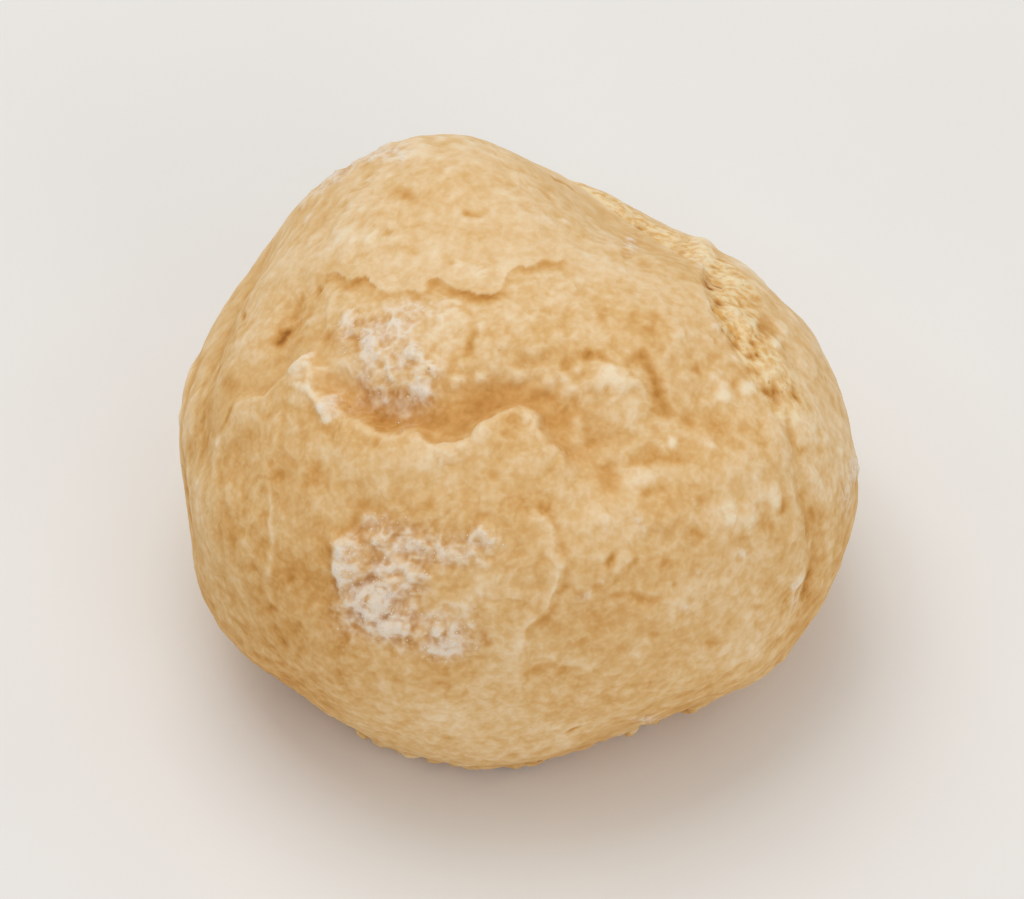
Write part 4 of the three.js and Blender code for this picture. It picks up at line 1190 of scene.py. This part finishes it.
# %% Icing sugar
SUGAR_GRAINS = 700
SMALLEST_SUGAR, MORE_SUGAR = 0.08, 0.16
SUGAR_STEPS = [(0.0, (238, 222, 202)), (1.0, (248, 238, 224))]
sugar_material, tree, shader, place = surface_material(
    "Icing sugar", Roughness=0.6, IOR=1.5, Specular_IOR_Level=0.25)
sugar_noise = grains(tree, place, 0.3, 2.0)
sugar_colour = colour_steps(tree, sugar_noise, SUGAR_STEPS)
sugar_normal = grouped(tree, doughy, Height=sugar_noise, Strength=0.3)
feed(tree, shader, {"Base Color": sugar_colour, "Normal": sugar_normal})
random = np.random.default_rng(21)
points, facing, _ = places_on_crust((powder**2.5 + 0.0002) * (1 - under), SUGAR_GRAINS, 22)
sizes = SMALLEST_SUGAR + MORE_SUGAR * random.beta(1.3, 3.0, SUGAR_GRAINS)
sugar_points, sugar_faces = grains_mesh(points, facing, sizes, FLATTENED, 0.22, 24)
sugar_grains = make_piece("sugar_grains", sugar_points, sugar_faces, sugar_material)
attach(sugar_grains, "root")

# %% [markdown]
# ## Crumbs
# Where dough tore, it left crumbs: pale ones in the open seam, golden ones on the rough middle band and
# along the edges of the tears. They are the same dough as the crust, so they share its colours, each
# crumb taking the browning and painted shade of the place it lies on, a little more or less baked.

# %% Crumbs
CRUMBS = 260
SMALLEST_CRUMB, MORE_CRUMB, CRUMB_SINK = 0.3, 0.7, 0.26
crumb_material, tree, shader, place = surface_material(
    "Crumbs", Roughness=0.8, IOR=1.42, Specular_IOR_Level=0.18)
crumb_lace = grouped(tree, lace, Place=place)
crumb_colour = grouped(
    tree, baked, Place=place, Browning=numbers_read(tree, "browning_and_shade"), Lace=crumb_lace, Mottle=0.3)
crumb_normal = grouped(tree, doughy, Height=crumb_lace, Strength=0.5)
feed(tree, shader, {"Base Color": crumb_colour, "Normal": crumb_normal})
torn_edges = sum(bell(tear_distance[k], -0.2, 0.7) for k in (UPPER, SLANTING, LEDGE, LEFT_CRACK))
torn_edges = torn_edges + 0.6 * bell(side_gap, 0.6, 0.8) + 0.5 * bell(great, -0.2, 0.6)
crumb_weight = 2.0 * crumbly + 0.05 * middle_band + 0.2 * torn_edges + 0.3 * low_edge + 0.004
points, facing, chosen = places_on_crust(crumb_weight * (1 - under) * (1 - 0.8 * valley), CRUMBS, 31)
below = quads[chosen, 0]
sizes = SMALLEST_CRUMB + MORE_CRUMB * random.beta(1.2, 3.0, CRUMBS) * (1 + 0.5 * crumbly[below])
points -= CRUMB_SINK * sizes[:, None] * facing
crumb_points, crumb_faces = grains_mesh(points, facing, sizes, FLATTENED, 0.28, 32)
own_browning_and_shade = browning_and_shade[below] - 0.14 * crumbly[below] + random.normal(-0.01, 0.06, CRUMBS)
crumb_numbers = {"browning_and_shade": np.repeat(np.clip(own_browning_and_shade, 0, 1), CORNERS)}
crumbs = make_piece("crumbs", crumb_points, crumb_faces, crumb_material, crumb_numbers)
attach(crumbs, "root")

# %% [markdown]
# ## Floor, light and camera
# A plain pale floor and a bright, even studio: white surroundings, one very large soft lamp overhead, and
# a weaker one from the front, so that shadows stay soft and the dips keep their colour. The camera looks
# straight onto the torn crown through a long lens.

# %% Floor
FLOOR_HALF = 900.0
FLOOR_STEPS = [(0.0, (236, 235, 233)), (1.0, (244, 243, 241))]
floor_material, tree, shader, place = surface_material("Floor", Roughness=0.6)
floor_colour = colour_steps(tree, grains(tree, place, 40.0, 3.0), FLOOR_STEPS)
feed(tree, shader, {"Base Color": floor_colour})
floor_corners = np.array([[-1, -1, 0], [1, -1, 0], [1, 1, 0], [-1, 1, 0]]) * FLOOR_HALF
floor_mesh = bpy.data.meshes.new("floor")
floor_mesh.from_pydata((floor_corners * MM).tolist(), [], [[0, 1, 2, 3]])
floor = bpy.data.objects.new("floor", floor_mesh)
floor.data.materials.append(floor_material)
bpy.context.scene.collection.objects.link(floor)
print("floor:", 2 * FLOOR_HALF, "mm wide")

# %% Light
WORLD_COLOUR, WORLD_STRENGTH = (1.0, 0.985, 0.965, 1.0), 0.575
LAMPS = [  # name, place and size (m), power (W), colour
    ("overhead lamp", (-0.10, 0.16, 0.62), 0.42, 1.42, (1.0, 0.985, 0.96)),
    ("front lamp", (0.33, -0.58, 0.42), 0.5, 0.92, (1.0, 1.0, 1.0)),
]
scene = bpy.context.scene
scene.view_settings.view_transform = "Standard"
world = bpy.data.worlds.new("Studio")
scene.world = world
world.use_nodes = True
background = world.node_tree.nodes["Background"]
feed(world.node_tree, background, {"Color": WORLD_COLOUR, "Strength": WORLD_STRENGTH})


def soft_lamp(title, place_m, target_m, size_m, watts, colour):
    """A square area lamp of this size and power at one place, facing another."""
    lamp = bpy.data.lights.new(title, "AREA")
    lamp.shape = "SQUARE"
    lamp.size = size_m
    lamp.energy = watts
    lamp.color = colour
    holder = bpy.data.objects.new(title, lamp)
    holder.location = place_m
    holder.rotation_euler = (Vector(target_m) - Vector(place_m)).to_track_quat("-Z", "Y").to_euler()
    bpy.context.scene.collection.objects.link(holder)


bun_middle_m = Vector(placed([[0, 0, GIRTH_HEIGHT]])[0])
for title, place_m, size_m, watts, colour in LAMPS:
    soft_lamp(title, place_m, bun_middle_m, size_m, watts, colour)
print(len(LAMPS), "lamps aim at", tuple(round(v, 4) for v in bun_middle_m))

# %% Camera
IMAGE_WIDTH, IMAGE_HEIGHT = 1024, 899
LENS_MM, SENSOR_MM = 200.0, 36.0
VIEW_WIDTH_MM = 98.0
distance_m = VIEW_WIDTH_MM * MM * LENS_MM / SENSOR_MM
look_at = Vector(placed([[0, 0, GIRTH_HEIGHT]] + on_crown(0.0, -0.9, 0.0))[0])
camera_data = bpy.data.cameras.new("camera")
camera_data.lens = LENS_MM
camera_data.sensor_width = SENSOR_MM
camera_data.clip_start = 0.01
camera_data.clip_end = 20.0
camera = bpy.data.objects.new("camera", camera_data)
camera.location = look_at + Vector(CROWN_OUT) * distance_m
camera.rotation_euler = (look_at - camera.location).to_track_quat("-Z", "Y").to_euler()
scene.collection.objects.link(camera)
scene.camera = camera
view_height = VIEW_WIDTH_MM * IMAGE_HEIGHT / IMAGE_WIDTH
print("camera", round(distance_m, 3), "m away, view", round(view_height), "mm tall")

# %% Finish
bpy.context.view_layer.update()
print("made in", round(time.time() - started, 1), "s")
